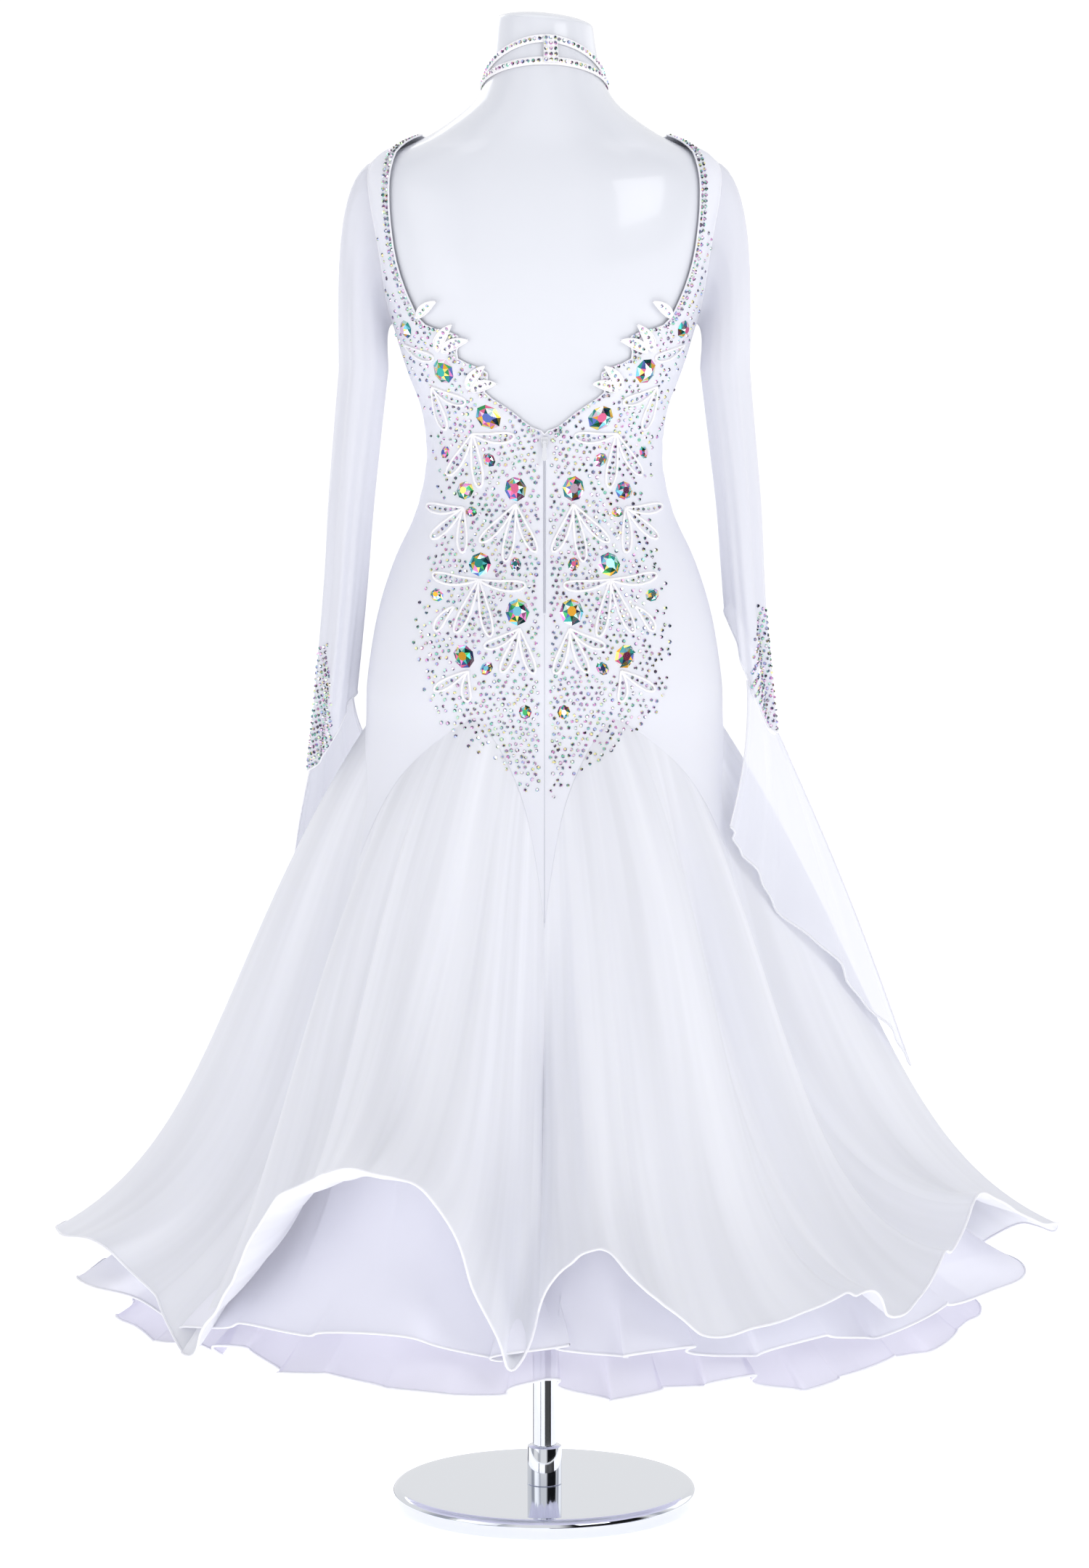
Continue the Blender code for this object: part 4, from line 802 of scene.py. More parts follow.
    def line(self, azimuth: float) -> Points:
        """Four control points, in radius and height, of the skirt's line from an azimuth of the arch."""
        top = self.arch(azimuth)
        reach = seam_place(azimuth, top)[0]
        radius, height = self.hem.at(azimuth, 2), self.hem.at(azimuth, 3)
        end_angle, start_angle = math.radians(self.hem.at(azimuth, 4)), math.radians(self.hem.at(azimuth, 5))
        span = math.hypot(radius - reach, top - height)
        lead, tail = span * self.start_lead, span * self.end_lead
        return ((reach, top), (reach + lead * math.sin(start_angle), top - lead * math.cos(start_angle)),
                (radius - tail * math.sin(end_angle), height + tail * math.cos(end_angle)), (radius, height))

    @staticmethod
    def on_curve(points: Points, share: float) -> tuple[float, float]:
        """Radius and height of a four-point curve at a share of its way."""
        rest = 1.0 - share
        weights = (rest**3, 3.0 * rest * rest * share, 3.0 * rest * share * share, share**3)
        return (sum(weight * point[0] for weight, point in zip(weights, points)),
                sum(weight * point[1] for weight, point in zip(weights, points)))

    def turned(self, azimuth: float, share: float) -> float:
        """Azimuth of a line, a share of the way down."""
        begin = seam_place(azimuth, self.arch(azimuth))[1]
        return blend(azimuth + wrapped(begin - azimuth), self.hem.at(azimuth, 1), share)

    def ripple(self, azimuth: float, share: float) -> float:
        """Small soft folds that grow towards the hem."""
        total = 0.0
        for waves, depth, phase in self.ripples:
            total += depth * math.sin(math.radians(azimuth) * waves + phase)
        return total * share**1.6

    def top_point(self, points: Points, azimuth: float, share: float, inset: float) -> Vector:
        """Point of the top skirt on the line of an azimuth, moved square to the line by an inset."""
        radius, height = self.on_curve(points, share)
        near = self.on_curve(points, max(share - 0.01, 0.0))
        far = self.on_curve(points, min(share + 0.01, 1.0))
        run, drop = far[0] - near[0], near[1] - far[1]
        length = math.hypot(run, drop)
        reach, level = radius - inset * drop / length, height - inset * run / length
        return polar(self.turned(azimuth, share), reach, level)

    def flounce_line(self, azimuth: float, layer: Layer) -> tuple[Points, float]:
        """Control points of an under flounce's line, and the azimuth where it is sewn."""
        points = self.line(azimuth)
        ends = []
        if layer is Layer.MIDDLE:
            for share in (self.middle_sewn_at, self.middle_sewn_at + 0.08):
                inset = WALL + self.middle_inset + self.fold(azimuth, share)
                ends.append(self.top_point(points, azimuth, share, inset))
            table = self.middle
        else:
            above, begin = self.flounce_line(azimuth, Layer.MIDDLE)
            turn = wrapped(self.hem.at(azimuth, 1) - begin)
            for share in (self.lowest_sewn_at, self.lowest_sewn_at + 0.08):
                radius, height = self.on_curve(above, share)
                ends.append(polar(begin + turn * share, radius - WALL - self.lowest_inset, height))
            table = self.lowest
        start = (math.hypot(ends[0].x, ends[0].y), ends[0].z)
        follow = (math.hypot(ends[1].x, ends[1].y), ends[1].z)
        slope = math.atan2(follow[0] - start[0], start[1] - follow[1]) - math.radians(self.turn_in)
        radius, height = table.at(azimuth, 1), table.at(azimuth, 2)
        end_angle = math.radians(table.at(azimuth, 3))
        span = math.hypot(radius - start[0], start[1] - height)
        lead, tail = span * self.flounce_lead, span * self.flounce_tail
        second = (start[0] + lead * math.sin(slope), start[1] - lead * math.cos(slope))
        third = (radius - tail * math.sin(end_angle), height + tail * math.cos(end_angle))
        return (start, second, third, (radius, height)), azimuth_of(ends[0])

    def build_godets(self, cuts: dict[str, Cut]) -> None:
        """Build the six godets of the top skirt with their rolled hems."""
        for row in self.godets:
            count = round((row[5] - row[1]) / self.column_step)
            rows: Rows = [[] for _ in range(self.rows + 1)]
            for place in range(count + 1):
                azimuth = blend(row[1], row[5], place / count)
                points = self.line(azimuth)
                for step in range(self.rows + 1):
                    share = step / self.rows
                    outward, sideways, upright = self.flute(Layer.TOP, azimuth, share)
                    inset = self.fold(azimuth, share) - MID_WALL - self.ripple(azimuth, share) - outward
                    spot = self.top_point(points, azimuth, share, inset)
                    away = Vector((spot.y, -spot.x, 0.0)).normalized()
                    rows[step].append(spot + away * sideways + Vector((0.0, 0.0, upright)))
            sewn(row[0], GODET, "crepe", [rows], "_hem_cord", [(rows[-1], self.cord_radius)], cuts[row[0]])

    def build_flounces(self, cuts: dict[str, Cut]) -> None:
        """Build both under flounces in quarters, each with its own hem flutes."""
        settings = ((Layer.MIDDLE, "flounce_middle_", SATIN, "lining"),
                    (Layer.LOWEST, "flounce_lowest_", NET, "net"))
        for layer, prefix, finish, slot in settings:
            for quarter, start in self.quarters:
                rows: Rows = [[] for _ in range(self.flounce_rows + 1)]
                count = round(90.0 / self.column_step)
                for place in range(count + 1):
                    azimuth = start + 90.0 * place / count
                    points, begin = self.flounce_line(azimuth, layer)
                    turn = wrapped(self.hem.at(azimuth, 1) - begin)
                    for step, row in enumerate(rows):
                        share = step / self.flounce_rows
                        radius, height = self.on_curve(points, share)
                        outward, sideways, upright = self.flute(layer, azimuth, share)
                        radius += MID_WALL + outward
                        shift = math.degrees(sideways / radius)
                        row.append(polar(begin + turn * share + shift, radius, height + upright))
                sewn(prefix + quarter, finish, slot, [rows], "_hem_cord", [(rows[-1], self.cord_radius)],
                     cuts[prefix + quarter])


@dataclass(frozen=True)
class Bodice:
    """The tight top down to the godet arches: two back panels and the front."""

    back: Table = Table(tuple((float(place),) + row for place, row in enumerate((
        (90.0, 1.4565, 90.0, 1.4310),
        (80.0, 1.4470, 86.5, 1.4250),
        (73.5, 1.4290, 83.5, 1.4070),
        (71.5, 1.4000, 82.0, 1.3800),
        (71.0, 1.3700, 81.5, 1.3530),
        (70.0, 1.3260, 82.5, 1.3180),
        (66.0, 1.2850, 86.0, 1.2830),
        (61.0, 1.2600, 90.0, 1.2620),
        (47.0, 1.2480, 90.0, 1.2440),
        (49.0, 1.2250, 90.0, 1.2260),
        (35.0, 1.2100, 90.0, 1.2090),
        (38.0, 1.1900, 90.0, 1.1930),
        (22.0, 1.1690, 90.0, 1.1750),
        (10.0, 1.1540, 90.0, 1.1580),
        (0.0, 1.1460, 90.0, 1.1410),
        (0.0, 1.1150, 90.0, 1.1100),
    ))))
    front: Table = Table(tuple((float(place),) + row for place, row in enumerate((
        (90.0, 1.4565, 90.0, 1.4310),
        (100.0, 1.4535, 93.5, 1.4290),
        (112.0, 1.4460, 97.0, 1.4240),
        (130.0, 1.4290, 101.5, 1.4040),
        (146.0, 1.4110, 103.5, 1.3780),
        (163.0, 1.3960, 103.5, 1.3480),
        (180.0, 1.3900, 101.5, 1.3140),
        (180.0, 1.3520, 96.0, 1.2810),
        (180.0, 1.3150, 90.0, 1.2620),
        (180.0, 1.2780, 90.0, 1.2350),
        (180.0, 1.2400, 90.0, 1.2060),
        (180.0, 1.2000, 90.0, 1.1750),
        (180.0, 1.1600, 90.0, 1.1410),
        (180.0, 1.1200, 90.0, 1.1100),
    ))))
    fine: int = 3
    lower_rows: int = 30
    columns: int = 72
    seam_dip: float = 0.0007
    seam_reach: float = 0.006
    drag_depth: float = 0.0005
    drag_pitch: float = 410.0
    waist: float = 1.115
    waist_reach: float = 0.05
    neck_cord: float = 0.0010
    armhole_cord: float = 0.0009

    def dip(self, azimuth: float, height: float) -> float:
        """Depth of the troughs along the side seams and the centre-back seam."""
        turn = wrapped(azimuth)
        reach = SHAPE.cloth.at(height, 1)
        away = min(abs(turn), abs(abs(turn) - 90.0))
        run = math.radians(away) * reach / self.seam_reach
        drag = self.drag_depth * math.sin(height * self.drag_pitch + 2.0 * math.sin(math.radians(turn * 3.0)))
        near = math.exp(-((height - self.waist) / self.waist_reach) ** 2) * abs(math.sin(math.radians(turn)))
        return self.seam_dip * math.exp(-run * run) - drag * near

    def rows(self, rungs: Table, centre: float, side: float, skirt: Skirt) -> Rows:
        """Points of a half from the shoulder seam to the arches.

        Args:
            rungs: Table of the panel's edges.
            centre: Azimuth of the panel's middle seam or fold.
            side: 1 for the wearer's left and -1 for the right.
            skirt: The skirt, for the arches.

        Returns:
            Rows of points, from the middle out to the side seam.
        """
        made: Rows = []
        last = len(rungs.rows) - 1
        for step in range(last * self.fine + 1):
            spot = step / self.fine
            ends = [rungs.at(spot, column) for column in (1, 2, 3, 4)]
            row = []
            for place in range(self.columns + 1):
                share = place / self.columns
                azimuth = blend(ends[0], ends[2], share) * side
                height = blend(ends[1], ends[3], share)
                row.append(SHAPE.over(azimuth, height, MID_WALL - self.dip(azimuth, height)))
            made.append(row)
        foot = rungs.rows[-1]
        for step in range(1, self.lower_rows + 1):
            row = []
            for place in range(self.columns + 1):
                share = place / self.columns
                azimuth = blend(centre, 90.0, share) * side
                height = blend(blend(foot[2], foot[4], share), skirt.arch(azimuth), step / self.lower_rows)
                row.append(SHAPE.over(azimuth, height, MID_WALL - self.dip(azimuth, height)))
            made.append(row)
        return made

    def build(self, skirt: Skirt, cuts: dict[str, Cut]) -> list[bpy.types.Object]:
        """Build the panels and their bound edges, and return the back panels."""
        backs = []
        for name, side in (("back_left", 1.0), ("back_right", -1.0)):
            rows = self.rows(self.back, 0.0, side, skirt)
            cords = self.edges(rows, NECK_RUNGS_BACK, ARMHOLE_RUNGS_BACK)
            backs.append(sewn(name, CREPE, "crepe", [rows], "_binding", cords, cuts[name]))
        halves = [self.rows(self.front, 180.0, side, skirt) for side in (1.0, -1.0)]
        cords = [cord for rows in halves for cord in self.edges(rows, NECK_RUNGS_FRONT, ARMHOLE_RUNGS_FRONT)]
        sewn("front", CREPE, "crepe", halves, "_binding", cords, cuts["front"])
        return backs

    def edges(self, rows: Rows, neck: int, armhole: int) -> Cords:
        """Cords bound round the neckline and the armhole, down to the given rungs."""
        return [([row[0] for row in rows[:neck * self.fine + 1]], self.neck_cord),
                ([row[-1] for row in rows[:armhole * self.fine + 1]], self.armhole_cord)]


@dataclass(frozen=True)
class Sleeves:
    """The two hanging sleeves, and the chiffon float that falls from each cuff."""

    # height, centre_x, centre_y, half_width, half_depth
    sections: Table = Table((
        (0.760, 0.2370, -0.010, 0.0195, 0.040),
        (0.837, 0.2270, -0.010, 0.0200, 0.041),
        (0.914, 0.2190, -0.009, 0.0205, 0.043),
        (0.991, 0.2120, -0.008, 0.0215, 0.046),
        (1.068, 0.2060, -0.006, 0.0230, 0.050),
        (1.145, 0.1980, -0.006, 0.0245, 0.054),
        (1.215, 0.1905, -0.008, 0.0260, 0.056),
    ))
    # side, mean height, swing, tip angle, float drop, float bow, float forward, float turn
    cuffs: tuple[Row, ...] = ((1.0, 0.838, 0.046, 30.0, 0.0030, 0.014, 26.0, 45.0),
                              (-1.0, 0.902, 0.070, 30.0, 0.0046, 0.000, 0.0, 0.0))
    # line, sleeve turn, low azimuth, low height, lift
    falls: Table = Table((
        (0.0, 112.5, 66.0, 0.738, 0.012),
        (1.0, 90.0, 70.5, 0.706, 0.018),
        (2.0, 67.5, 75.0, 0.652, 0.012),
        (3.0, 45.0, 80.0, 0.590, 0.019),
        (4.0, 22.5, 85.0, 0.528, 0.012),
        (5.0, 0.0, 90.0, 0.474, 0.016),
    ))
    top: float = 1.215
    armhole_inset: float = 0.0012
    columns: int = 96
    cap_rows: int = 18
    rows: int = 44
    fold_count: int = 5
    fold_depth: float = 0.0016
    armhole_azimuth: float = 92.0
    armhole_height: float = 1.346
    armhole_radius: float = 0.18
    cap_out: float = 0.62
    cap_down: float = 0.9
    # depth of the small folds at the top of the sleeve, at full growth, and the drop over which they grow
    small_folds: Row = (0.0008, 0.0019, 0.36)
    float_columns: int = 50
    float_rows: int = 40

    def armhole(self, bodice: Bodice, side: float) -> list[Vector]:
        """Closed line of the armhole, drawn in a little, from the shoulder round the back."""
        back = [row[3:5] for row in bodice.back.rows if row[3] < 90.0 or row[4] > 1.26]
        front = [row[3:5] for row in bodice.front.rows if row[3] > 90.0]
        ring = back + front[::-1]
        ring.append(ring[0])
        lengths = [0.0]
        for first, second in zip(ring, ring[1:]):
            run = math.radians(second[0] - first[0]) * self.armhole_radius
            lengths.append(lengths[-1] + math.hypot(run, second[1] - first[1]))
        points = []
        for place in range(self.columns):
            wanted = lengths[-1] * place / self.columns
            index = 0
            while lengths[index + 1] < wanted:
                index += 1
            share = (wanted - lengths[index]) / (lengths[index + 1] - lengths[index])
            turn = blend(ring[index][0], ring[index + 1][0], share) - self.armhole_azimuth
            run = math.radians(turn) * self.armhole_radius
            rise = blend(ring[index][1], ring[index + 1][1], share) - self.armhole_height
            keep = 1.0 - self.armhole_inset / math.hypot(run, rise)
            azimuth = self.armhole_azimuth + math.degrees(run * keep / self.armhole_radius)
            points.append(SHAPE.over(azimuth * side, self.armhole_height + rise * keep, 0.0))
        points.append(points[0].copy())
        return points

    def section(self, height: float, turn: float, side: float) -> Vector:
        """Point of a level section: turn 0 is outward, 90 towards the back.

        Args:
            height: Height of the section.
            turn: Degrees round the sleeve.
            side: 1 for the left sleeve and -1 for the right.

        Returns:
            The point.
        """
        angle = math.radians(turn)
        least, most, drop = self.small_folds
        small = blend(least, most, min(max((self.top - height) / drop, 0.0), 1.0))
        fold = self.fold_depth * math.sin(self.fold_count * angle + 6.0 * height)
        fine = 0.6 * math.sin(13.0 * angle - 7.0 * height + side)
        fold += small * (math.sin(8.0 * angle + 3.0 * height) + fine)
        half_width = self.sections.at(height, 3) + fold
        half_depth = self.sections.at(height, 4) + fold
        across = self.sections.at(height, 1) + half_width * math.cos(angle)
        return Vector((side * across, self.sections.at(height, 2) + half_depth * math.sin(angle), height))

    @staticmethod
    def edge(cuff: Row, turn: float) -> float:
        """Height of the slanted cuff's edge round the sleeve."""
        return cuff[1] - cuff[2] * math.cos(math.radians(turn - cuff[3]))

    def build(self, bodice: Bodice, skirt: Skirt, cuts: dict[str, Cut]) -> None:
        """Build the sleeves and floats with their cords."""
        for cuff, side_name in zip(self.cuffs, ("left", "right")):
            side = cuff[0]
            turns = [360.0 * place / self.columns for place in range(self.columns + 1)]
            ring = self.armhole(bodice, side)
            level = [self.section(self.top, turn, side) for turn in turns]
            rows: Rows = []
            for step in range(self.cap_rows):
                parts = weights(step / self.cap_rows)
                row = []
                for start, end in zip(ring, level):
                    reach = (end - start).length
                    out = Vector((side * 0.9, 0.0, -0.25)) * reach * self.cap_out
                    down = Vector((0.0, 0.0, -1.0)) * reach * self.cap_down
                    row.append(start * parts[0] + out * parts[1] + end * parts[2] + down * parts[3])
                rows.append(row)
            for step in range(self.rows + 1):
                heights = [blend(self.top, self.edge(cuff, turn), step / self.rows) for turn in turns]
                rows.append([self.section(height, turn, side) for height, turn in zip(heights, turns)])
            name = "sleeve_" + side_name
            cords = [(rows[0][:-1], 0.0009), (rows[-1][:-1], 0.0010)]
            sewn(name, MESH, "organza", [rows], "_seam_cord", cords, cuts[name], closed=True)
            self.build_float(side_name, cuff, skirt, cuts)

    def build_float(self, side_name: str, cuff: Row, skirt: Skirt, cuts: dict[str, Cut]) -> None:
        """Build the chiffon fall of one cuff."""
        side = cuff[0]
        lines = []
        for place in range(self.float_columns + 1):
            spot = self.falls.rows[-1][0] * place / self.float_columns
            turn, low = self.falls.at(spot, 1), self.falls.at(spot, 2)
            turn += cuff[7]
            turn, azimuth = (-turn, 180.0 - low + cuff[6]) if side > 0.0 else (turn, 360.0 - low)
            low_height = self.falls.at(spot, 3)
            start = self.section(self.edge(cuff, turn) - cuff[4], turn, side)
            radius = self.skirt_reach(skirt, azimuth, low_height) + self.falls.at(spot, 4) + MID_WALL
            lines.append((start, polar(azimuth, radius, low_height), spot))
        rows: Rows = []
        for step in range(self.float_rows + 1):
            share = step / self.float_rows
            row = []
            for start, end, spot in lines:
                point = start.lerp(end, share)
                bow = cuff[5] * math.sin(math.pi * share) + 0.006 * max(0.0, math.sin(math.pi * share))
                soft = 0.0050 * share**0.7 * math.sin(spot * 4.6 + 1.2)
                bow += soft + 0.0018 * share * math.sin(spot * 11.0)
                row.append(point + Vector((point.x, point.y, 0.0)).normalized() * bow)
            rows.append(row)
        name = "float_" + side_name
        cords = [(rows[-1], 0.0013), ([row[0] for row in rows], 0.0010), ([row[-1] for row in rows], 0.0010)]
        sewn(name, CHIFFON, "organza", [rows], "_hem_cord", cords, cuts[name])

    @staticmethod
    def skirt_reach(skirt: Skirt, azimuth: float, height: float) -> float:
        """Distance of the top skirt from the pole axis at a height."""
        points = skirt.line(azimuth)
        low, high = narrowed(0.0, 0.85, 24, lambda share: skirt.on_curve(points, share)[1] > height)
        return skirt.on_curve(points, 0.5 * (low + high))[0]


@dataclass(frozen=True)
class DressForm:
    """The smooth limbless form, its pole and its round base."""

    columns: int = 120
    bottom: float = 0.751
    neck_top: float = 1.576
    neck_dome: float = 0.011
    neck_slant: float = 0.09
    base_radius: float = 0.164
    base_thickness: float = 0.020
    edge_round: float = 0.008
    socket_radius: float = 0.0185
    socket_top: float = 0.062
    pole_radius: float = 0.0127
    seat_gap: float = 0.0004
    levels: int = 120
    slant_start: float = 1.53
    # share of the way out, drop under the hip and inset of the underside's rings
    underside: tuple[Row, ...] = ((0.0, 0.008, 0.010), (0.5, 0.008, 0.010), (0.9, 0.008, 0.010),
                                  (1.0, 0.0075, 0.010), (1.0, 0.004, 0.004))

    def build_shell(self) -> None:
        """Build the form from the hip block up over the shoulders to the slanted neck."""
        azimuths = once_round(self.columns)
        rows: Rows = []
        for outward, drop, inset in self.underside:
            reaches = [SHAPE.radius(SHAPE.form, azimuth, self.bottom) - inset for azimuth in azimuths]
            rows.append([polar(azimuth, max(reach * outward, 0.0), self.bottom - drop)
                         for azimuth, reach in zip(azimuths, reaches)])
        for step in range(self.levels + 1):
            height = blend(self.bottom, self.neck_top, step / self.levels)
            lean = max(0.0, (height - self.slant_start) / (self.neck_top - self.slant_start))
            row = [polar(azimuth, SHAPE.radius(SHAPE.form, azimuth, height), height) for azimuth in azimuths]
            for point in row:
                point.z += self.neck_slant * point.x * lean
            rows.append(row)
        top = rows[-1]
        for angle in range(10, 91, 10):
            inward, rise = math.cos(math.radians(angle)), math.sin(math.radians(angle))
            rows.append([Vector((point.x * inward, point.y * inward, point.z + self.neck_dome * rise
                                 - self.neck_slant * point.x * (1.0 - inward))) for point in top])
        rows.reverse()
        piece = Piece("form_shell", SHELL)
        piece.grid(rows, closed=True)
        piece.finished("shell", ("dress_form",))

    def spun(self, name: str, profile: list[tuple[float, float]], replaced: str) -> None:
        """Spin a profile of radius and height about the pole axis into a chrome piece."""
        piece = Piece(name, CHROME)
        verts = [piece.work.verts.new((radius, 0.0, height)) for radius, height in profile]
        edges = [piece.work.edges.new(pair) for pair in zip(verts, verts[1:])]
        bmesh.ops.spin(piece.work, geom=verts + edges, cent=(0.0, 0.0, 0.0), axis=(0.0, 0.0, 1.0),
                       angle=2.0 * math.pi, steps=128, use_merge=True)
        bmesh.ops.remove_doubles(piece.work, verts=list(piece.work.verts), dist=0.000001)
        bmesh.ops.recalc_face_normals(piece.work, faces=list(piece.work.faces))
        piece.finished("chrome", (replaced,))

    def build_stand(self) -> None:
        """Build the base plate and the pole with its socket collar."""
        middle = self.base_thickness - self.edge_round
        rim = self.base_radius - self.edge_round
        profile = [(0.0, self.base_thickness), (rim - 0.010, self.base_thickness)]
        for angle in range(90, -1, -10):
            turn = math.radians(angle)
            profile.append((rim + self.edge_round * math.cos(turn),
                            middle + self.edge_round * math.sin(turn)))
        profile += [(self.base_radius - 0.0005, 0.0008), (self.base_radius - 0.002, 0.0), (0.0, 0.0)]
        self.spun("base_plate", profile, "stand_base")
        foot = self.base_thickness + self.seat_gap
        top = self.bottom - 0.008 - self.seat_gap
        profile = [(0.0, top), (self.pole_radius, top), (self.pole_radius, top - 0.001),
                   (self.pole_radius, self.socket_top + 0.0004), (self.pole_radius, self.socket_top),
                   (self.socket_radius - 0.0015, self.socket_top),
                   (self.socket_radius - 0.0004, self.socket_top - 0.0005),
                   (self.socket_radius, self.socket_top - 0.0015), (self.socket_radius, foot + 0.0005),
                   (self.socket_radius, foot), (0.0, foot)]
        self.spun("pole_and_socket", profile, "stand_pole")


class Ground:
    """The finished cloth of the back, on which trimmings are set."""

    def __init__(self, pieces: list[bpy.types.Object]) -> None:
        """Keep a search tree of the pieces' faces."""
        self.trees = []
        for piece in pieces:
            work = bmesh.new()
            work.from_mesh(piece.data)
            self.trees.append(BVHTree.FromBMesh(work))
            work.free()

    def cast(self, start: Vector, aim: Vector) -> tuple[Vector, Vector] | None:
        """Return the nearest place and outward normal hit by a ray, or None."""
        best = None
        for tree in self.trees:
            place, normal, _, reach = tree.ray_cast(start, aim)
            if place is not None and (best is None or reach < best[2]):
                best = (place, normal if normal.dot(aim) < 0.0 else -normal, reach)
        return None if best is None else (best[0], best[1])

    def behind(self, across: float, height: float) -> tuple[Vector, Vector] | None:
        """Place seen straight from behind at a distance to the left of the middle."""
        return self.cast(Vector((across, 0.6, height)), Vector((0.0, -1.0, 0.0)))

    def around(self, azimuth: float, height: float) -> tuple[Vector, Vector] | None:
        """Place met on the way to the pole axis from an azimuth."""
        return self.cast(polar(azimuth, 0.6, height), polar(azimuth, -1.0, 0.0))


class Crystals:
    """Many faceted stones in one mesh, each facet with its own tint."""

    cell: float = 0.018
    pastel: tuple[str, ...] = ("#F7F6FA", "#E6BEE2", "#B5E3D3", "#F3E9A8", "#B4BFEA", "#847C92", "#57515F",
                               "#CF8FC2", "#86CBB4", "#FFFFFF", "#A59FB2", "#74849C", "#F0D2EC", "#D9F0C8")
    vivid: tuple[str, ...] = ("#F2B13C", "#3FA9A0", "#E58BC9", "#7FD0E6", "#F6E27A", "#FFFFFF", "#5B6FB8",
                              "#49B36B", "#F7D6EE", "#2C6E72", "#C8F0E8", "#E86F9A")

    def __init__(self, name: str, seed: int) -> None:
        """Start an empty mesh of stones with its own fixed row of random numbers."""
        self.piece = Piece(name, CRYSTAL)
        self.colour = self.piece.work.loops.layers.float_color.new("tint")
        self.random = np.random.default_rng(seed)
        self.cells: dict[tuple[int, ...], list[tuple[Vector, float]]] = {}
        self.small = self.master(6, False)
        self.large = self.master(8, True)

    def master(self, sides: int, twisted: bool) -> list[bmesh.types.BMVert | bmesh.types.BMFace]:
        """Cut a master stone of unit radius and height, a large one with a second row of facets."""
        work = self.piece.work
        made = bmesh.ops.create_cone(work, cap_ends=True, segments=sides, radius1=1.0,
                                     radius2=0.74 if twisted else 0.55, depth=0.5 if twisted else 1.0)
        verts = set(made["verts"])
        bmesh.ops.translate(work, verts=list(verts), vec=(0.0, 0.0, 0.25 if twisted else 0.5))
        if twisted:
            top = max({face for vertex in verts for face in vertex.link_faces},
                      key=lambda face: face.calc_center_median().z)
            bmesh.ops.inset_individual(work, faces=[top], thickness=0.36, depth=0.0)
            bmesh.ops.translate(work, verts=list(top.verts), vec=(0.0, 0.0, 0.5))
            bmesh.ops.rotate(work, verts=list(top.verts), cent=(0.0, 0.0, 0.0),
                             matrix=Matrix.Rotation(math.pi / sides, 3, "Z"))
            verts.update(top.verts)
            faces = {face for vertex in verts for face in vertex.link_faces}
            bmesh.ops.triangulate(work, faces=[face for face in faces if len(face.verts) == 4])
        faces = {face for vertex in verts for face in vertex.link_faces}
        return list(verts) + list(faces)

    def add(self, spot: Vector, normal: Vector, radius: float, rise: float, stretch: float = 1.0,
            turn: float = 0.0, large: bool = False, lean: float = 0.06) -> None:
        """Set one cut stone on the cloth.

        Args:
            spot: Place on the cloth.
            normal: Outward normal of the cloth there.
            radius: Half width of the stone.
            rise: Height of its table over the cloth.
            stretch: Length over width.
            turn: Turn of its long axis about the normal, in degrees.
            large: Whether it is a large stone with two rows of facets.
            lean: How far its seat is tilted at random.
        """
        tilt = Vector([float(value) for value in self.random.normal(0.0, lean, 3)])
        normal = (normal + tilt).normalized()
        across = Vector((0.0, 0.0, 1.0)).cross(normal)
        across = across.normalized() if across.length > 0.01 else Vector((1.0, 0.0, 0.0))
        upward = normal.cross(across).normalized()
        angle = math.radians(turn)
        first = (across * math.cos(angle) + upward * math.sin(angle)) * radius
        second = (upward * math.cos(angle) - across * math.sin(angle)) * radius * stretch
        seat = spot - normal * 0.0003
        place = Matrix((
            (first.x, second.x, normal.x * rise, seat.x),
            (first.y, second.y, normal.y * rise, seat.y),
            (first.z, second.z, normal.z * rise, seat.z),
            (0.0, 0.0, 0.0, 1.0),
        ))
        work = self.piece.work
        copied = bmesh.ops.duplicate(work, geom=self.large if large else self.small)["geom"]
        verts = [item for item in copied if isinstance(item, bmesh.types.BMVert)]
        bmesh.ops.transform(work, matrix=place, verts=verts)
        colours = self.vivid if large else self.pastel
        for item in copied:
            if isinstance(item, bmesh.types.BMFace):
                shade = linear(colours[int(self.random.integers(len(colours)))])
                for loop in item.loops:
                    loop[self.colour] = shade
        self.block(spot, radius * max(1.0, stretch))

    def block(self, spot: Vector, reach: float) -> None:
        """Keep later stones off a place."""
        key = tuple(math.floor(value / self.cell) for value in spot)
        self.cells.setdefault(key, []).append((spot, reach))

    def free_at(self, spot: Vector, radius: float) -> bool:
        """Whether a stone of this radius would clear all that is already set."""
        first = [math.floor(value / self.cell) - 1 for value in spot]
        for number in range(27):
            key = (first[0] + number % 3, first[1] + number // 3 % 3, first[2] + number // 9)
            for other, reach in self.cells.get(key, ()):
                if (spot - other).length <= radius + reach:
                    return False
        return True

    def finished(self) -> bpy.types.Object:
        """Drop the master stones and finish the mesh."""
        spare = [item for item in self.small + self.large
                 if item.is_valid and isinstance(item, bmesh.types.BMVert)]
        bmesh.ops.delete(self.piece.work, geom=spare, context="VERTS")
        return self.piece.finished("band", (), smooth=False)


def swung(across: float, height: float, angle: float, run: float, swing: float) -> tuple[float, float]:
    """Flat place at a run along an angle from a start, and a swing to its side."""
    return (across + run * math.cos(angle) - swing * math.sin(angle),
            height + run * math.sin(angle) + swing * math.cos(angle))


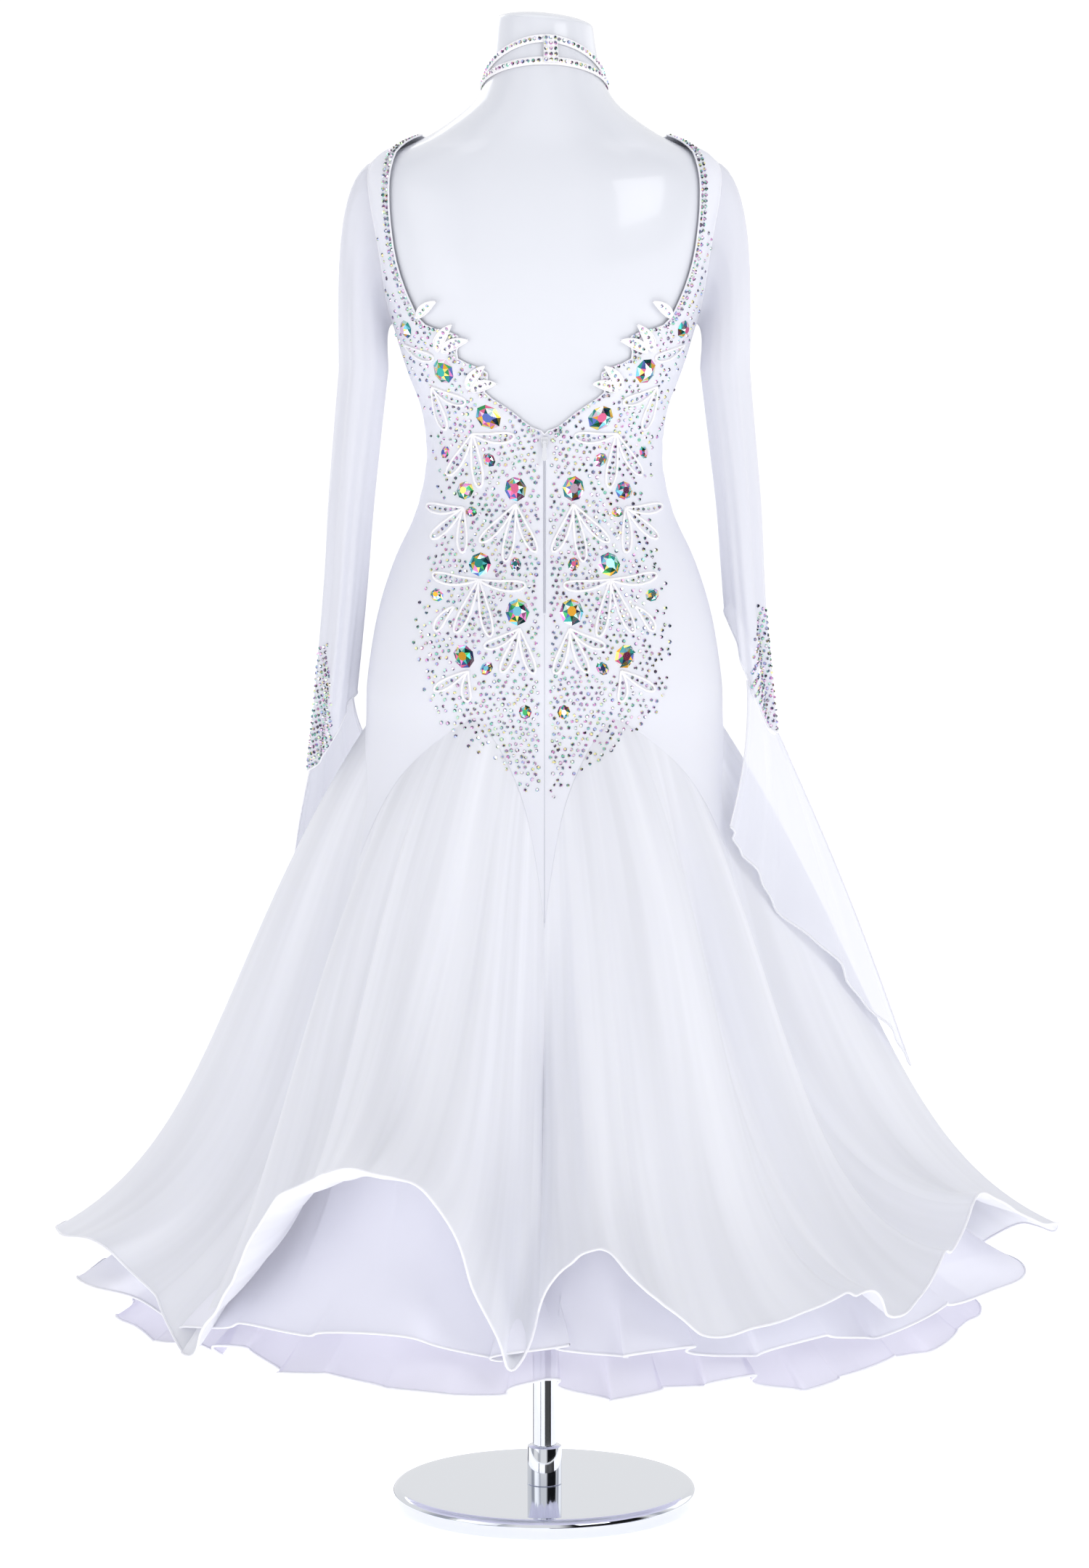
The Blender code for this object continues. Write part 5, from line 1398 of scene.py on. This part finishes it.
@dataclass(frozen=True)
class Loop:
    """One pointed loop of braid on the cloth, which bends a little as it runs out."""

    ground: Ground
    start: tuple[float, float]
    heading: float
    bend: float
    length: float
    width: float
    side: float
    lift: float

    def half(self, run: float) -> float:
        """Half width at a run."""
        return self.width * 0.5 * (0.25 + 0.75 * run / self.length)

    def at(self, run: float, swing: float) -> Vector | None:
        """Place on the cloth at a run and a swing to its side."""
        angle = self.heading + self.bend * run / self.length
        flat_x, flat_z = swung(self.start[0], self.start[1], angle, run, swing)
        found = self.ground.behind(flat_x * self.side, flat_z)
        return None if found is None else found[0] + found[1] * self.lift

    def path(self, steps: int) -> list[Vector | None]:
        """Places of the braid, out along one side and back along the other."""
        spots = []
        for step in range(steps + 1):
            turn = 2.0 * math.pi * step / steps
            run = self.length * 0.5 * (1.0 - math.cos(turn))
            spots.append(self.at(run, math.sin(turn) * self.half(run)))
        return spots


@dataclass(frozen=True)
class Ornament:
    """Trimming of the back: large stones, braid loops, small stones, and the double row round the neck."""

    # azimuth, height, radius, stretch, tilt: the large stones of each half
    stones: tuple[Row, ...] = (
        (72.0, 1.2560, 0.0100, 1.0, 0.0),
        (57.0, 1.2120, 0.0120, 1.15, 20.0),
        (37.0, 1.1640, 0.0120, 1.25, 50.0),
        (20.0, 1.0900, 0.0115, 1.2, 10.0),
        (51.0, 1.0880, 0.0100, 1.0, 0.0),
        (36.0, 1.0120, 0.0120, 1.1, 0.0),
        (14.0, 0.9630, 0.0125, 1.15, 0.0),
        (37.0, 0.9170, 0.0110, 1.2, 30.0),
    )
    # height and half width of the stoned field
    field_edge: Table = Table((
        (0.757, 0.004), (0.790, 0.035), (0.820, 0.070), (0.850, 0.108), (0.900, 0.130), (0.945, 0.137),
        (1.000, 0.126), (1.070, 0.114), (1.145, 0.122), (1.200, 0.146), (1.250, 0.172), (1.320, 0.192),
        (1.370, 0.196)))
    # across, height, heading, length, width, loops, spread: fans of braid loops of each half
    fans: tuple[Row, ...] = (
        (0.075, 1.147, -98.0, 0.056, 0.0150, 5.0, 128.0), (0.030, 1.074, -80.0, 0.060, 0.0145, 5.0, 104.0),
        (0.084, 1.070, -66.0, 0.050, 0.0140, 4.0, 108.0), (0.068, 0.996, -84.0, 0.062, 0.0150, 6.0, 150.0),
        (0.026, 0.946, -88.0, 0.052, 0.0140, 4.0, 92.0), (0.079, 0.902, -30.0, 0.040, 0.0130, 3.0, 90.0),
        (0.117, 1.196, -84.0, 0.050, 0.0140, 4.0, 112.0), (0.146, 1.240, -104.0, 0.044, 0.0130, 3.0, 70.0),
        (0.050, 1.122, 8.0, 0.046, 0.0130, 3.0, 74.0), (0.094, 0.968, 4.0, 0.040, 0.0130, 3.0, 84.0),
        (0.146, 1.272, 92.0, 0.046, 0.0120, 3.0, 52.0), (0.060, 1.166, 128.0, 0.034, 0.0120, 2.0, 44.0),
    )
    # across, height, heading, length, width: leaves that stand over the neckline of each half
    leaves: tuple[Row, ...] = (
        (0.109, 1.233, 92.0, 0.031, 0.0110), (0.104, 1.232, 130.0, 0.029, 0.0110),
        (0.078, 1.194, 100.0, 0.029, 0.0105), (0.074, 1.192, 138.0, 0.026, 0.0105),
        (0.128, 1.268, 112.0, 0.024, 0.0100))
    # across, height, radius, stretch, tilt: the middling stones of each half
    middling: tuple[Row, ...] = (
        (0.058, 1.120, 0.0066, 1.3, 40.0), (0.104, 1.128, 0.0062, 1.2, -30.0),
        (0.030, 1.012, 0.0062, 1.3, 10.0), (0.112, 0.980, 0.0068, 1.3, 60.0),
        (0.060, 0.905, 0.0062, 1.3, -40.0), (0.020, 0.860, 0.0070, 1.15, 0.0),
        (0.140, 1.285, 0.0062, 1.2, 20.0), (0.076, 1.066, 0.0058, 1.2, 75.0))
    small_radius: float = 0.0023
    small_rise: float = 0.0017
    pitch: float = 0.0068
    row_share: float = 0.87
    field_top: float = 1.365
    field_bottom: float = 0.757
    field_reach: float = 0.17
    field_rim: float = 0.030
    thinned_to: float = 0.34
    braid_radius: float = 0.0014
    fan_taper: float = 0.22
    loop_bend: float = 0.5
    loop_steps: int = 32
    loop_pitch: float = 0.0052
    zip_clearance: float = 0.0045
    leaf_bend: float = 26.0
    leaf_steps: int = 14
    leaf_pitch: float = 0.0050
    neck_foot: float = 1.146
    neck_insets: tuple[float, float] = (0.0030, 0.0086)
    neck_pitch: float = 0.0056

    def neck_edge(self, bodice: Bodice, height: float) -> float:
        """Azimuth of the back neckline at a height."""
        if height <= self.neck_foot:
            return 0.0
        low, _ = narrowed(0.0, NECK_RUNGS_BACK, 22, lambda spot: bodice.back.at(spot, 2) > height)
        return bodice.back.at(low, 1)

    def large_stones(self, ground: Ground, gems: Crystals) -> None:
        """Set the large stones over both halves."""
        for azimuth, height, radius, stretch, tilt in self.stones:
            for side in (1.0, -1.0):
                found = ground.around(azimuth * side, height)
                if found is not None:
                    gems.add(found[0], found[1], radius, 0.0052, stretch, tilt * side, large=True, lean=0.0)

    def accents(self, ground: Ground, gems: Crystals) -> None:
        """Set the middling stones between the large ones."""
        for across, height, radius, stretch, tilt in self.middling:
            for side in (1.0, -1.0):
                found = ground.behind(across * side, height)
                if found is not None:
                    gems.add(found[0], found[1], radius, 0.0036, stretch, tilt * side, large=True, lean=0.0)

    def braid(self, ground: Ground, bodice: Bodice, skirt: Skirt, gems: Crystals) -> None:
        """Sew the fans of braid loops, mirrored over the zip, and set two rows of stones in each loop.

        Args:
            ground: Finished cloth of the back.
            bodice: The bodice, for the neckline.
            skirt: The skirt, for the arches under the panels.
            gems: Stones of the back.
        """
        piece = Piece("braid_loops", BRAID)
        for across, height, heading, length, width, loops, spread in self.fans:
            for side in (1.0, -1.0):
                for number in range(int(loops)):
                    share = number / (loops - 1.0)
                    angle = math.radians(heading + (share - 0.5) * spread)
                    reach = length * (1.0 - self.fan_taper * abs(2.0 * share - 1.0))
                    loop = Loop(ground, (across, height), angle, (share - 0.5) * self.loop_bend, reach, width,
                                side, self.braid_radius * 0.6)
                    path = loop.path(self.loop_steps)
                    if any(spot is None for spot in path) or not self.clear_of_neck(bodice, path):
                        continue
                    if min(spot.x * side for spot in path) < self.zip_clearance:
                        continue
                    if not self.clear_of_arch(skirt, path):
                        continue
                    if sum(not gems.free_at(spot, 0.0004) for spot in path[3:-3]) > 3:
                        continue
                    piece.tube(path, self.braid_radius, 5)
                    for spot in path:
                        gems.block(spot, 0.0006)
                    self.fill(loop, gems)
        piece.finished("band")

    def fill(self, loop: Loop, gems: Crystals) -> None:
        """Set one or two rows of stones in a loop, as its width leaves room."""
        count = max(int(loop.length / self.loop_pitch), 2)
        for step in range(1, count):
            run = loop.length * (step + 0.4) / count
            room = loop.half(run) * math.sin(math.acos(1.0 - 2.0 * run / loop.length))
            for swing in ((-0.42 * room, 0.42 * room) if room > 0.0050 else (0.0,)):
                spot = loop.at(run, swing)
                if spot is not None and gems.free_at(spot, self.small_radius * 0.80):
                    found = loop.ground.behind(spot.x, spot.z)
                    gems.add(found[0], found[1], self.small_radius * 0.92, self.small_rise)

    def leaf_points(self, gems: Crystals) -> None:
        """Set the pointed leaves over the neckline, each edged with braid and filled with stones."""
        piece = Piece("neckline_leaves", BRAID)
        for across, height, heading, length, width in self.leaves:
            for side in (1.0, -1.0):
                rows: Rows = []
                edges: tuple[list[Vector], list[Vector]] = ([], [])
                for step in range(self.leaf_steps + 1):
                    share = step / self.leaf_steps
                    run = length * step / self.leaf_steps
                    half = width * 0.5 * max(math.sin(math.pi * share**0.8), 0.02) ** 0.8
                    angle = math.radians(heading + self.leaf_bend * step / self.leaf_steps)
                    row = []
                    for turn in range(9):
                        place = 2.0 * math.pi * (turn % 8) / 8
                        swing, lift = half * math.cos(place), 0.0006 * math.sin(place)
                        row.append(self.leaf_spot(across, height, angle, run, swing, side, lift))
                    rows.append(row)
                    for edge, swing in zip(edges, (half, -half)):
                        edge.append(self.leaf_spot(across, height, angle, run, swing, side, 0.0004))
                piece.grid(rows, closed=True)
                piece.tube(edges[0] + edges[1][::-1], 0.0008, 5)
                for step in range(1, int(length / self.leaf_pitch)):
                    run = self.leaf_pitch * step
                    angle = math.radians(heading + self.leaf_bend * run / length)
                    spot = self.leaf_spot(across, height, angle, run, 0.0, side, 0.0006)
                    normal = SHAPE.normal(SHAPE.cloth, azimuth_of(spot), spot.z)
                    gems.add(spot, normal, 0.0021, self.small_rise)
                for edge in edges:
                    for spot in edge:
                        gems.block(spot, 0.0010)
        piece.finished("band")

    @staticmethod
    def leaf_spot(across: float, height: float, angle: float, run: float, swing: float, side: float,
                  lift: float) -> Vector:
        """Place over the cloth's surface, carried on past the neckline."""
        flat_x, flat_z = swung(across, height, angle, run, swing)
        low, _ = narrowed(0.0, 90.0, 20, lambda turn:
                          SHAPE.radius(SHAPE.cloth, turn, flat_z) * math.sin(math.radians(turn)) < flat_x)
        return SHAPE.over(low * side, flat_z, WALL + 0.0008 + lift)

    @staticmethod
    def clear_of_arch(skirt: Skirt, path: list[Vector]) -> bool:
        """Whether a path keeps above the godets."""
        return all(spot.z > skirt.arch(azimuth_of(spot)) + 0.004 for spot in path)

    def clear_of_neck(self, bodice: Bodice, path: list[Vector]) -> bool:
        """Whether a path keeps off the neckline's edge."""
        for spot in path:
            if spot.z > 1.14 and abs(azimuth_of(spot)) < self.neck_edge(bodice, spot.z + 0.004) + 5.0:
                return False
        return True

    def scatter(self, ground: Ground, bodice: Bodice, gems: Crystals) -> None:
        """Fill the field between the loops with small stones in swaying rows, thinner towards its edge."""
        rows = int((self.field_top - self.field_bottom) / (self.pitch * self.row_share))
        for row in range(rows):
            height = self.field_bottom + row * self.pitch * self.row_share
            widest = self.field_edge.at(height, 1)
            count = int(2.3 * self.field_reach / self.pitch)
            for place in range(-count // 2, count // 2 + 1):
                across = (place + 0.5 * (row % 2)) * self.pitch
                sway = math.copysign(1.0, across)
                jitter = gems.random.normal(0.0, 0.0007, 2)
                chance = float(gems.random.random())
                level = height + float(jitter[1]) + 0.0045 * math.sin(46.0 * abs(across) - 15.0 * height)
                shift = sway * 0.0035 * math.sin(34.0 * height + 19.0 * abs(across))
                across = across + float(jitter[0]) + shift
                if abs(across) > widest or abs(across) < 0.0060:
                    continue
                rim = (widest - abs(across)) / self.field_rim
                if chance > self.thinned_to + (1.0 - self.thinned_to) * min(rim, 1.0):
                    continue
                found = ground.behind(across, level)
                if found is None:
                    continue
                edge = self.neck_edge(bodice, level + 0.002) + 6.0
                if level > 1.138 and abs(azimuth_of(found[0])) < edge:
                    continue
                radius = self.small_radius * (0.88 + 0.24 * float(gems.random.random()))
                if gems.free_at(found[0], radius * 0.92):
                    gems.add(found[0], found[1], radius, self.small_rise)

    def neck_rows(self, bodice: Bodice, gems: Crystals) -> None:
        """Set two rows of stones along the whole neckline."""
        halves = ((bodice.back, NECK_RUNGS_BACK, True), (bodice.front, NECK_RUNGS_FRONT, False))
        for rungs, last, is_back in halves:
            for side in (1.0, -1.0):
                for inset in self.neck_insets:
                    travelled, before = 0.0, None
                    for step in range(last * 24 + 1):
                        spot = last * step / (last * 24)
                        azimuth, height = rungs.at(spot, 1), rungs.at(spot, 2)
                        outer, low = rungs.at(spot, 3), rungs.at(spot, 4)
                        here = SHAPE.over(azimuth * side, height, 0.0)
                        far = SHAPE.over(outer * side, low, 0.0)
                        share = min(inset / max((far - here).length, 0.001), 0.5)
                        turned = blend(azimuth, outer, share)
                        level = blend(height, low, share)
                        if spot > last - 1.0 and is_back:
                            level -= inset * (spot - (last - 1.0))
                        place = SHAPE.over(turned * side, level, WALL)
                        if before is not None:
                            travelled += (place - before).length
                        before = place
                        if travelled >= self.neck_pitch or step == 0:
                            travelled = 0.0
                            if abs(place.x) > 0.004 or not is_back:
                                normal = SHAPE.normal(SHAPE.cloth, turned * side, level)
                                if gems.free_at(place, 0.0016):
                                    gems.add(place, normal, self.small_radius, self.small_rise)

    def build(self, ground: Ground, bodice: Bodice, skirt: Skirt) -> None:
        """Set every trimming of the back."""
        neck = Crystals("neckline_stones", 11)
        self.neck_rows(bodice, neck)
        neck.finished()
        gems = Crystals("back_stones", 7)
        self.large_stones(ground, gems)
        self.accents(ground, gems)
        self.leaf_points(gems)
        self.braid(ground, bodice, skirt, gems)
        self.scatter(ground, bodice, gems)
        gems.finished()


@dataclass(frozen=True)
class Choker:
    """The neck band: two stoned strips that part at the back, and the tab that laps over them."""

    width: float = 0.0085
    front: float = 1.497
    back_low: float = 1.532
    back_high: float = 1.5555
    clearance: float = 0.0014
    wall: float = 0.0016
    columns: int = 120
    stones: int = 66

    def middle(self, azimuth: float, is_high: bool) -> float:
        """Height of a strip's middle line."""
        back = 0.5 + 0.5 * math.cos(math.radians(azimuth))
        apart = max(0.0, math.cos(math.radians(azimuth))) ** 1.3
        spread = blend(self.width * 0.5 + 0.00025, 0.5 * (self.back_high - self.back_low), apart)
        level = blend(self.front, 0.5 * (self.back_low + self.back_high), back**1.15)
        return level + spread if is_high else level - spread

    def build(self) -> None:
        """Build the strips, their stones and the tab."""
        gems = Crystals("choker_stones", 23)
        azimuths = once_round(self.columns)
        for name, is_high in (("choker_upper", True), ("choker_lower", False)):
            piece = Piece(name + "_band", BRAID)
            rows: Rows = []
            for shift, lift in ((0.48, 0.0), (0.5, 0.0008), (0.4, self.wall), (-0.4, self.wall),
                                (-0.5, 0.0008), (-0.48, 0.0)):
                rows.append([self.point(azimuth, self.middle(azimuth, is_high) + self.width * shift,
                                        self.clearance + lift) for azimuth in azimuths])
            piece.grid(rows, closed=True)
            piece.finished("band", (name,))
            for azimuth in once_round(self.stones)[:-1]:
                height = self.middle(azimuth, is_high)
                spot = self.point(azimuth, height, self.clearance + self.wall)
                gems.add(spot, SHAPE.normal(SHAPE.form, azimuth, height), 0.0025, 0.0018)
        piece = Piece("choker_tab_band", BRAID)
        lift = self.clearance + self.wall + 0.0008
        rows = []
        for place in range(13):
            height = blend(self.back_high + 0.003, self.back_low - 0.003, place / 12)
            height += -0.0004 if place == 0 else 0.0
            rows.append([self.point(azimuth, height, lift + rise) for azimuth, rise in
                         ((-14.0, 0.0), (-13.8, 0.0012), (-9.0, self.wall), (-4.0, self.wall), (0.8, 0.0012),
                          (1.0, 0.0))])
        piece.grid(rows)
        piece.finished("band", ("choker_tab",))
        for azimuth in (-11.4, -6.5, -1.6):
            for place in range(5):
                height = blend(self.back_high, self.back_low, place / 4)
                spot = self.point(azimuth, height, lift + self.wall)
                gems.add(spot, SHAPE.normal(SHAPE.form, azimuth, height), 0.0023, 0.0017)
        gems.finished()

    @staticmethod
    def point(azimuth: float, height: float, lift: float) -> Vector:
        """Point over the form, lifted along its normal."""
        return SHAPE.point(SHAPE.form, azimuth, height, lift)


@dataclass(frozen=True)
class CuffStones:
    """A pointed field of stones over the back of each cuff."""

    pitch: float = 0.0066
    rise: float = 0.130
    centre: float = 40.0
    half: float = 56.0
    tip: float = 5.0
    step: float = 8.4

    def build(self, sleeves: Sleeves) -> None:
        """Set the stones of both cuffs."""
        gems = Crystals("cuff_stones", 31)
        for cuff in sleeves.cuffs:
            side = cuff[0]
            rows = int(self.rise / self.pitch)
            for row in range(rows + 1):
                up = row * self.pitch
                half = self.half * (1.0 - up / self.rise) ** 0.8 + self.tip
                count = int(half / self.step)
                for place in range(-count, count + 1):
                    turn = self.centre + (place + 0.5 * (row % 2)) * self.step
                    turn += float(gems.random.normal(0.0, 0.5))
                    height = sleeves.edge(cuff, turn) + 0.004 + up
                    spot = sleeves.section(height, turn, side)
                    ahead = sleeves.section(height, turn + 2.0, side)
                    over = sleeves.section(height + 0.003, turn, side)
                    normal = (ahead - spot).cross(over - spot).normalized()
                    across, fore = sleeves.sections.at(height, 1), sleeves.sections.at(height, 2)
                    centre = Vector((side * across, fore, height))
                    if normal.dot(spot - centre) < 0.0:
                        normal = -normal
                    gems.add(spot, normal, 0.0023, 0.0017)
        gems.finished()


@dataclass(frozen=True)
class Zip:
    """The zip line of the centre back under its slider, and the finish of slider and pull."""

    top: float = 1.1320
    bottom: float = 0.962
    seam_foot: float = 0.646

    @staticmethod
    def line(ground: Ground, across: float, top: float, bottom: float, count: int,
             lift: float) -> list[Vector]:
        """Points straight down the cloth of the back, some lift over it."""
        path = []
        for step in range(count):
            found = ground.behind(across, blend(top, bottom, step / (count - 1)))
            if found is not None:
                path.append(found[0] + found[1] * lift)
        return path

    def build(self, ground: Ground, frame: dict[str, object]) -> None:
        """Lay grey lines of painted shade along the closed edges of the zip and down the seam under it, and
        paint the zip's metal.
        """
        # Painted shade: thin grey tubes in the gap where the zip's edges close and down the seam's groove
        piece = Piece("zip_edges", SEAM_SHADE)
        for side in (1.0, -1.0):
            piece.tube(self.line(ground, side * 0.0008, self.top, self.bottom, 60, 0.0002), 0.0005, 6)
        piece.finished("crepe")
        piece = Piece("back_seam", SEAM_SHADE)
        piece.tube(self.line(ground, 0.0, self.bottom - 0.002, self.seam_foot, 90, -0.0001), 0.0004, 5)
        piece.finished("crepe")
        for name in ("zip_slider", "zip_pull"):
            node = frame["nodes"][name]
            node.data.materials.clear()
            node.data.materials.append(ENAMEL.make())


@dataclass(frozen=True)
class Studio:
    """Pale floor, soft light and the photograph's camera."""

    distance: float = 4.4
    eye: float = 1.12
    tilt: float = 4.47
    lens: float = 95.2
    sensor: float = 36.0
    floor_half: float = 40.0
    floor_level: float = -0.0005
    # azimuths between which a dark card lies on the floor, seen only in reflections of the stand
    cards: tuple[Row, ...] = ((-66.0, -3.0), (34.0, 39.0), (128.0, 150.0))
    card_steps: int = 12
    card_reach: tuple[float, float] = (0.27, 3.0)
    # name, place, height of the target, size and power of each light
    lamps: tuple[tuple[str, Row, float, float, float], ...] = (
        ("key_light", (-2.6, 3.2, 3.0), 0.9, 2.0, 40.0), ("fill_light", (3.0, 2.4, 1.6), 0.8, 2.4, 11.0),
        ("front_key", (2.2, -3.2, 3.0), 0.9, 2.2, 30.0), ("front_fill", (-3.0, -2.4, 1.6), 0.8, 2.4, 9.0),
        ("top_light", (0.0, 0.0, 4.2), 0.0, 2.6, 24.0))

    def build(self) -> None:
        """Set the floor, world, lights and camera."""
        self.lay_floor()
        self.fill_air()
        for name, place, target, size, power in self.lamps:
            self.lamp(name, place, (0.0, 0.0, target), size, power)
        data = bpy.data.cameras.new("camera")
        data.lens = self.lens
        data.sensor_width = self.sensor
        data.clip_end = 200.0
        camera = placed("camera", data)
        camera.location = (0.0, self.distance, self.eye)
        camera.rotation_euler = (math.radians(90.0 - self.tilt), 0.0, math.radians(180.0))
        bpy.context.scene.camera = camera
        bpy.context.scene.view_settings.view_transform = "Standard"

    @staticmethod
    def paint(name: str, values: dict[str, object]) -> bpy.types.Material:
        """Make a plain material of the studio."""
        made = bpy.data.materials.new(name)
        made.use_nodes = True
        for socket, value in values.items():
            made.node_tree.nodes["Principled BSDF"].inputs[socket].default_value = value
        return made

    def lay_floor(self) -> None:
        """Lay the white floor, and the dark cards on it."""
        white = linear("#FFFFFF")
        floor = self.paint("studio_floor_paint", {"Base Color": white, "Roughness": 0.9,
                                                  "Emission Color": white, "Emission Strength": 0.65})
        work = bmesh.new()
        bmesh.ops.create_grid(work, x_segments=1, y_segments=1, size=self.floor_half)
        ground = placed("studio_floor", meshed("studio_floor", work, floor))
        ground.location = (0.0, 0.0, self.floor_level)
        dark = self.paint("black_card", {"Base Color": linear("#141416")})
        dark.diffuse_color = linear("#141416")
        near, far = self.card_reach
        for number, (start, end) in enumerate(self.cards):
            work = bmesh.new()
            made = bmesh.ops.create_grid(work, x_segments=self.card_steps, y_segments=1, size=1.0)
            for place, vertex in enumerate(made["verts"]):
                row, column = divmod(place, self.card_steps + 1)
                vertex.co = polar(blend(start, end, column / self.card_steps), far if row else near, 0.0)
            card = placed("floor_card_%d" % number, meshed("floor_card", work, dark))
            card.visible_camera = card.visible_diffuse = card.visible_shadow = False

    def fill_air(self) -> None:
        """Light the air, and show white behind the part and the dark screens only in reflections."""
        world = bpy.data.worlds.new("studio_air")
        world.use_nodes = True
        tree = world.node_tree
        air = tree.nodes["Background"]
        air.inputs["Color"].default_value = linear("#F3F4FA")
        air.inputs["Strength"].default_value = 0.52
        white = add_node(tree, "ShaderNodeBackground", Color=(1.0, 1.0, 1.0, 1.0), Strength=1.1)
        path = add_node(tree, "ShaderNodeLightPath")
        mirrored = self.mirrored(tree)
        shine = add_node(tree, "ShaderNodeMixShader")
        mix = add_node(tree, "ShaderNodeMixShader")
        join(tree, (path.outputs["Is Glossy Ray"], shine.inputs[0]), (air.outputs[0], shine.inputs[1]),
             (mirrored.outputs[0], shine.inputs[2]), (path.outputs["Is Camera Ray"], mix.inputs[0]),
             (shine.outputs[0], mix.inputs[1]), (white.outputs[0], mix.inputs[2]),
             (mix.outputs[0], tree.nodes["World Output"].inputs["Surface"]))
        bpy.context.scene.world = world

    @staticmethod
    def mirrored(tree: bpy.types.NodeTree) -> bpy.types.Node:
        """Make the white studio with dark gaps between its screens, as polished metal shows it."""
        place = add_node(tree, "ShaderNodeTexCoord")
        split = add_node(tree, "ShaderNodeSeparateXYZ")
        side = add_node(tree, "ShaderNodeMath", operation="ARCTAN2")
        ramp = add_node(tree, "ShaderNodeValToRGB")
        span = add_node(tree, "ShaderNodeMapRange")
        span.inputs["From Min"].default_value = -math.pi
        span.inputs["From Max"].default_value = math.pi
        glow = add_node(tree, "ShaderNodeBackground", Strength=0.95)
        join(tree, (place.outputs["Generated"], split.inputs[0]), (split.outputs["X"], side.inputs[0]),
             (split.outputs["Y"], side.inputs[1]), (side.outputs[0], span.inputs["Value"]),
             (span.outputs[0], ramp.inputs["Fac"]), (ramp.outputs["Color"], glow.inputs["Color"]))
        white, grey, dark = linear("#FFFFFF"), linear("#B9BCC4"), linear("#1B1C1E")
        stops = ((0.20, white), (0.23, grey), (0.26, white), (0.285, dark), (0.44, dark), (0.47, white),
                 (0.56, white), (0.60, grey), (0.64, white), (0.70, white), (0.715, grey), (0.75, grey),
                 (0.80, white))
        ramp.color_ramp.elements[0].color = white
        ramp.color_ramp.elements[1].color = white
        for spot, colour in stops:
            ramp.color_ramp.elements.new(spot).color = colour
        return glow

    @staticmethod
    def lamp(name: str, place: tuple[float, float, float], target: tuple[float, float, float], size: float,
             power: float) -> None:
        """Add one soft square light that faces a target."""
        data = bpy.data.lights.new(name, "AREA")
        data.size = size
        data.energy = power
        made = placed(name, data)
        made.location = place
        made.rotation_euler = (Vector(target) - Vector(place)).to_track_quat("-Z", "Y").to_euler()


CUTS: dict[str, Cut] = {
    "back_left": Cut(0.245, 0.840, 0.102, "stretched", ("form_shell",)),
    "back_right": Cut(0.245, 0.840, 0.102, "stretched", ("form_shell",)),
    "front": Cut(0.490, 0.850, 0.276, "stretched", ("form_shell",)),
    "godet_back_left": Cut(0.845, 0.660, 0.246, "hung", ("back_left_cloth",)),
    "godet_back_right": Cut(0.720, 0.690, 0.243, "hung", ("back_right_cloth",)),
    "godet_side_left": Cut(0.460, 0.675, 0.177, "hung", ("back_left_cloth", "front_cloth")),
    "godet_side_right": Cut(0.480, 0.695, 0.180, "hung", ("back_right_cloth", "front_cloth")),
    "godet_front_left": Cut(0.650, 0.670, 0.228, "hung", ("front_cloth",)),
    "godet_front_right": Cut(0.650, 0.670, 0.228, "hung", ("front_cloth",)),
    "flounce_middle_back_left": Cut(0.790, 0.330, 0.185, "gathered", ("godet_back_left_cloth",)),
    "flounce_middle_back_right": Cut(0.810, 0.330, 0.188, "gathered", ("godet_back_right_cloth",)),
    "flounce_middle_front_left": Cut(0.800, 0.330, 0.174, "gathered", ("godet_front_left_cloth",)),
    "flounce_middle_front_right": Cut(0.865, 0.335, 0.178, "gathered", ("godet_front_right_cloth",)),
    "flounce_lowest_back_left": Cut(0.740, 0.275, 0.142, "gathered", ("flounce_middle_back_left_cloth",)),
    "flounce_lowest_back_right": Cut(0.780, 0.275, 0.147, "gathered", ("flounce_middle_back_right_cloth",)),
    "flounce_lowest_front_left": Cut(0.735, 0.275, 0.135, "gathered", ("flounce_middle_front_left_cloth",)),
    "flounce_lowest_front_right": Cut(0.795, 0.270, 0.137, "gathered", ("flounce_middle_front_right_cloth",)),
    "sleeve_left": Cut(0.360, 0.660, 0.128, "hung", ("back_left_cloth", "front_cloth")),
    "sleeve_right": Cut(0.385, 0.620, 0.114, "hung", ("back_right_cloth", "front_cloth")),
    "float_left": Cut(0.320, 0.320, 0.039, "hung", ("sleeve_left_cloth",)),
    "float_right": Cut(0.360, 0.290, 0.035, "hung", ("sleeve_right_cloth",)),
}


def main() -> None:
    """Build every piece in order."""
    logging.basicConfig(level=logging.INFO, format="%(message)s")
    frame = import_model()
    skirt, bodice, sleeves, form = Skirt(), Bodice(), Sleeves(), DressForm()
    Studio().build()
    form.build_shell()
    form.build_stand()
    backs = bodice.build(skirt, CUTS)
    skirt.build_godets(CUTS)
    skirt.build_flounces(CUTS)
    sleeves.build(bodice, skirt, CUTS)
    godets = [item for item in bpy.data.objects
              if item.name.startswith("godet_back") and item.name.endswith("_cloth")]
    ground = Ground(backs + godets)
    Ornament().build(ground, bodice, skirt)
    Choker().build()
    CuffStones().build(sleeves)
    Zip().build(ground, frame)


if __name__ == "__main__":
    main()
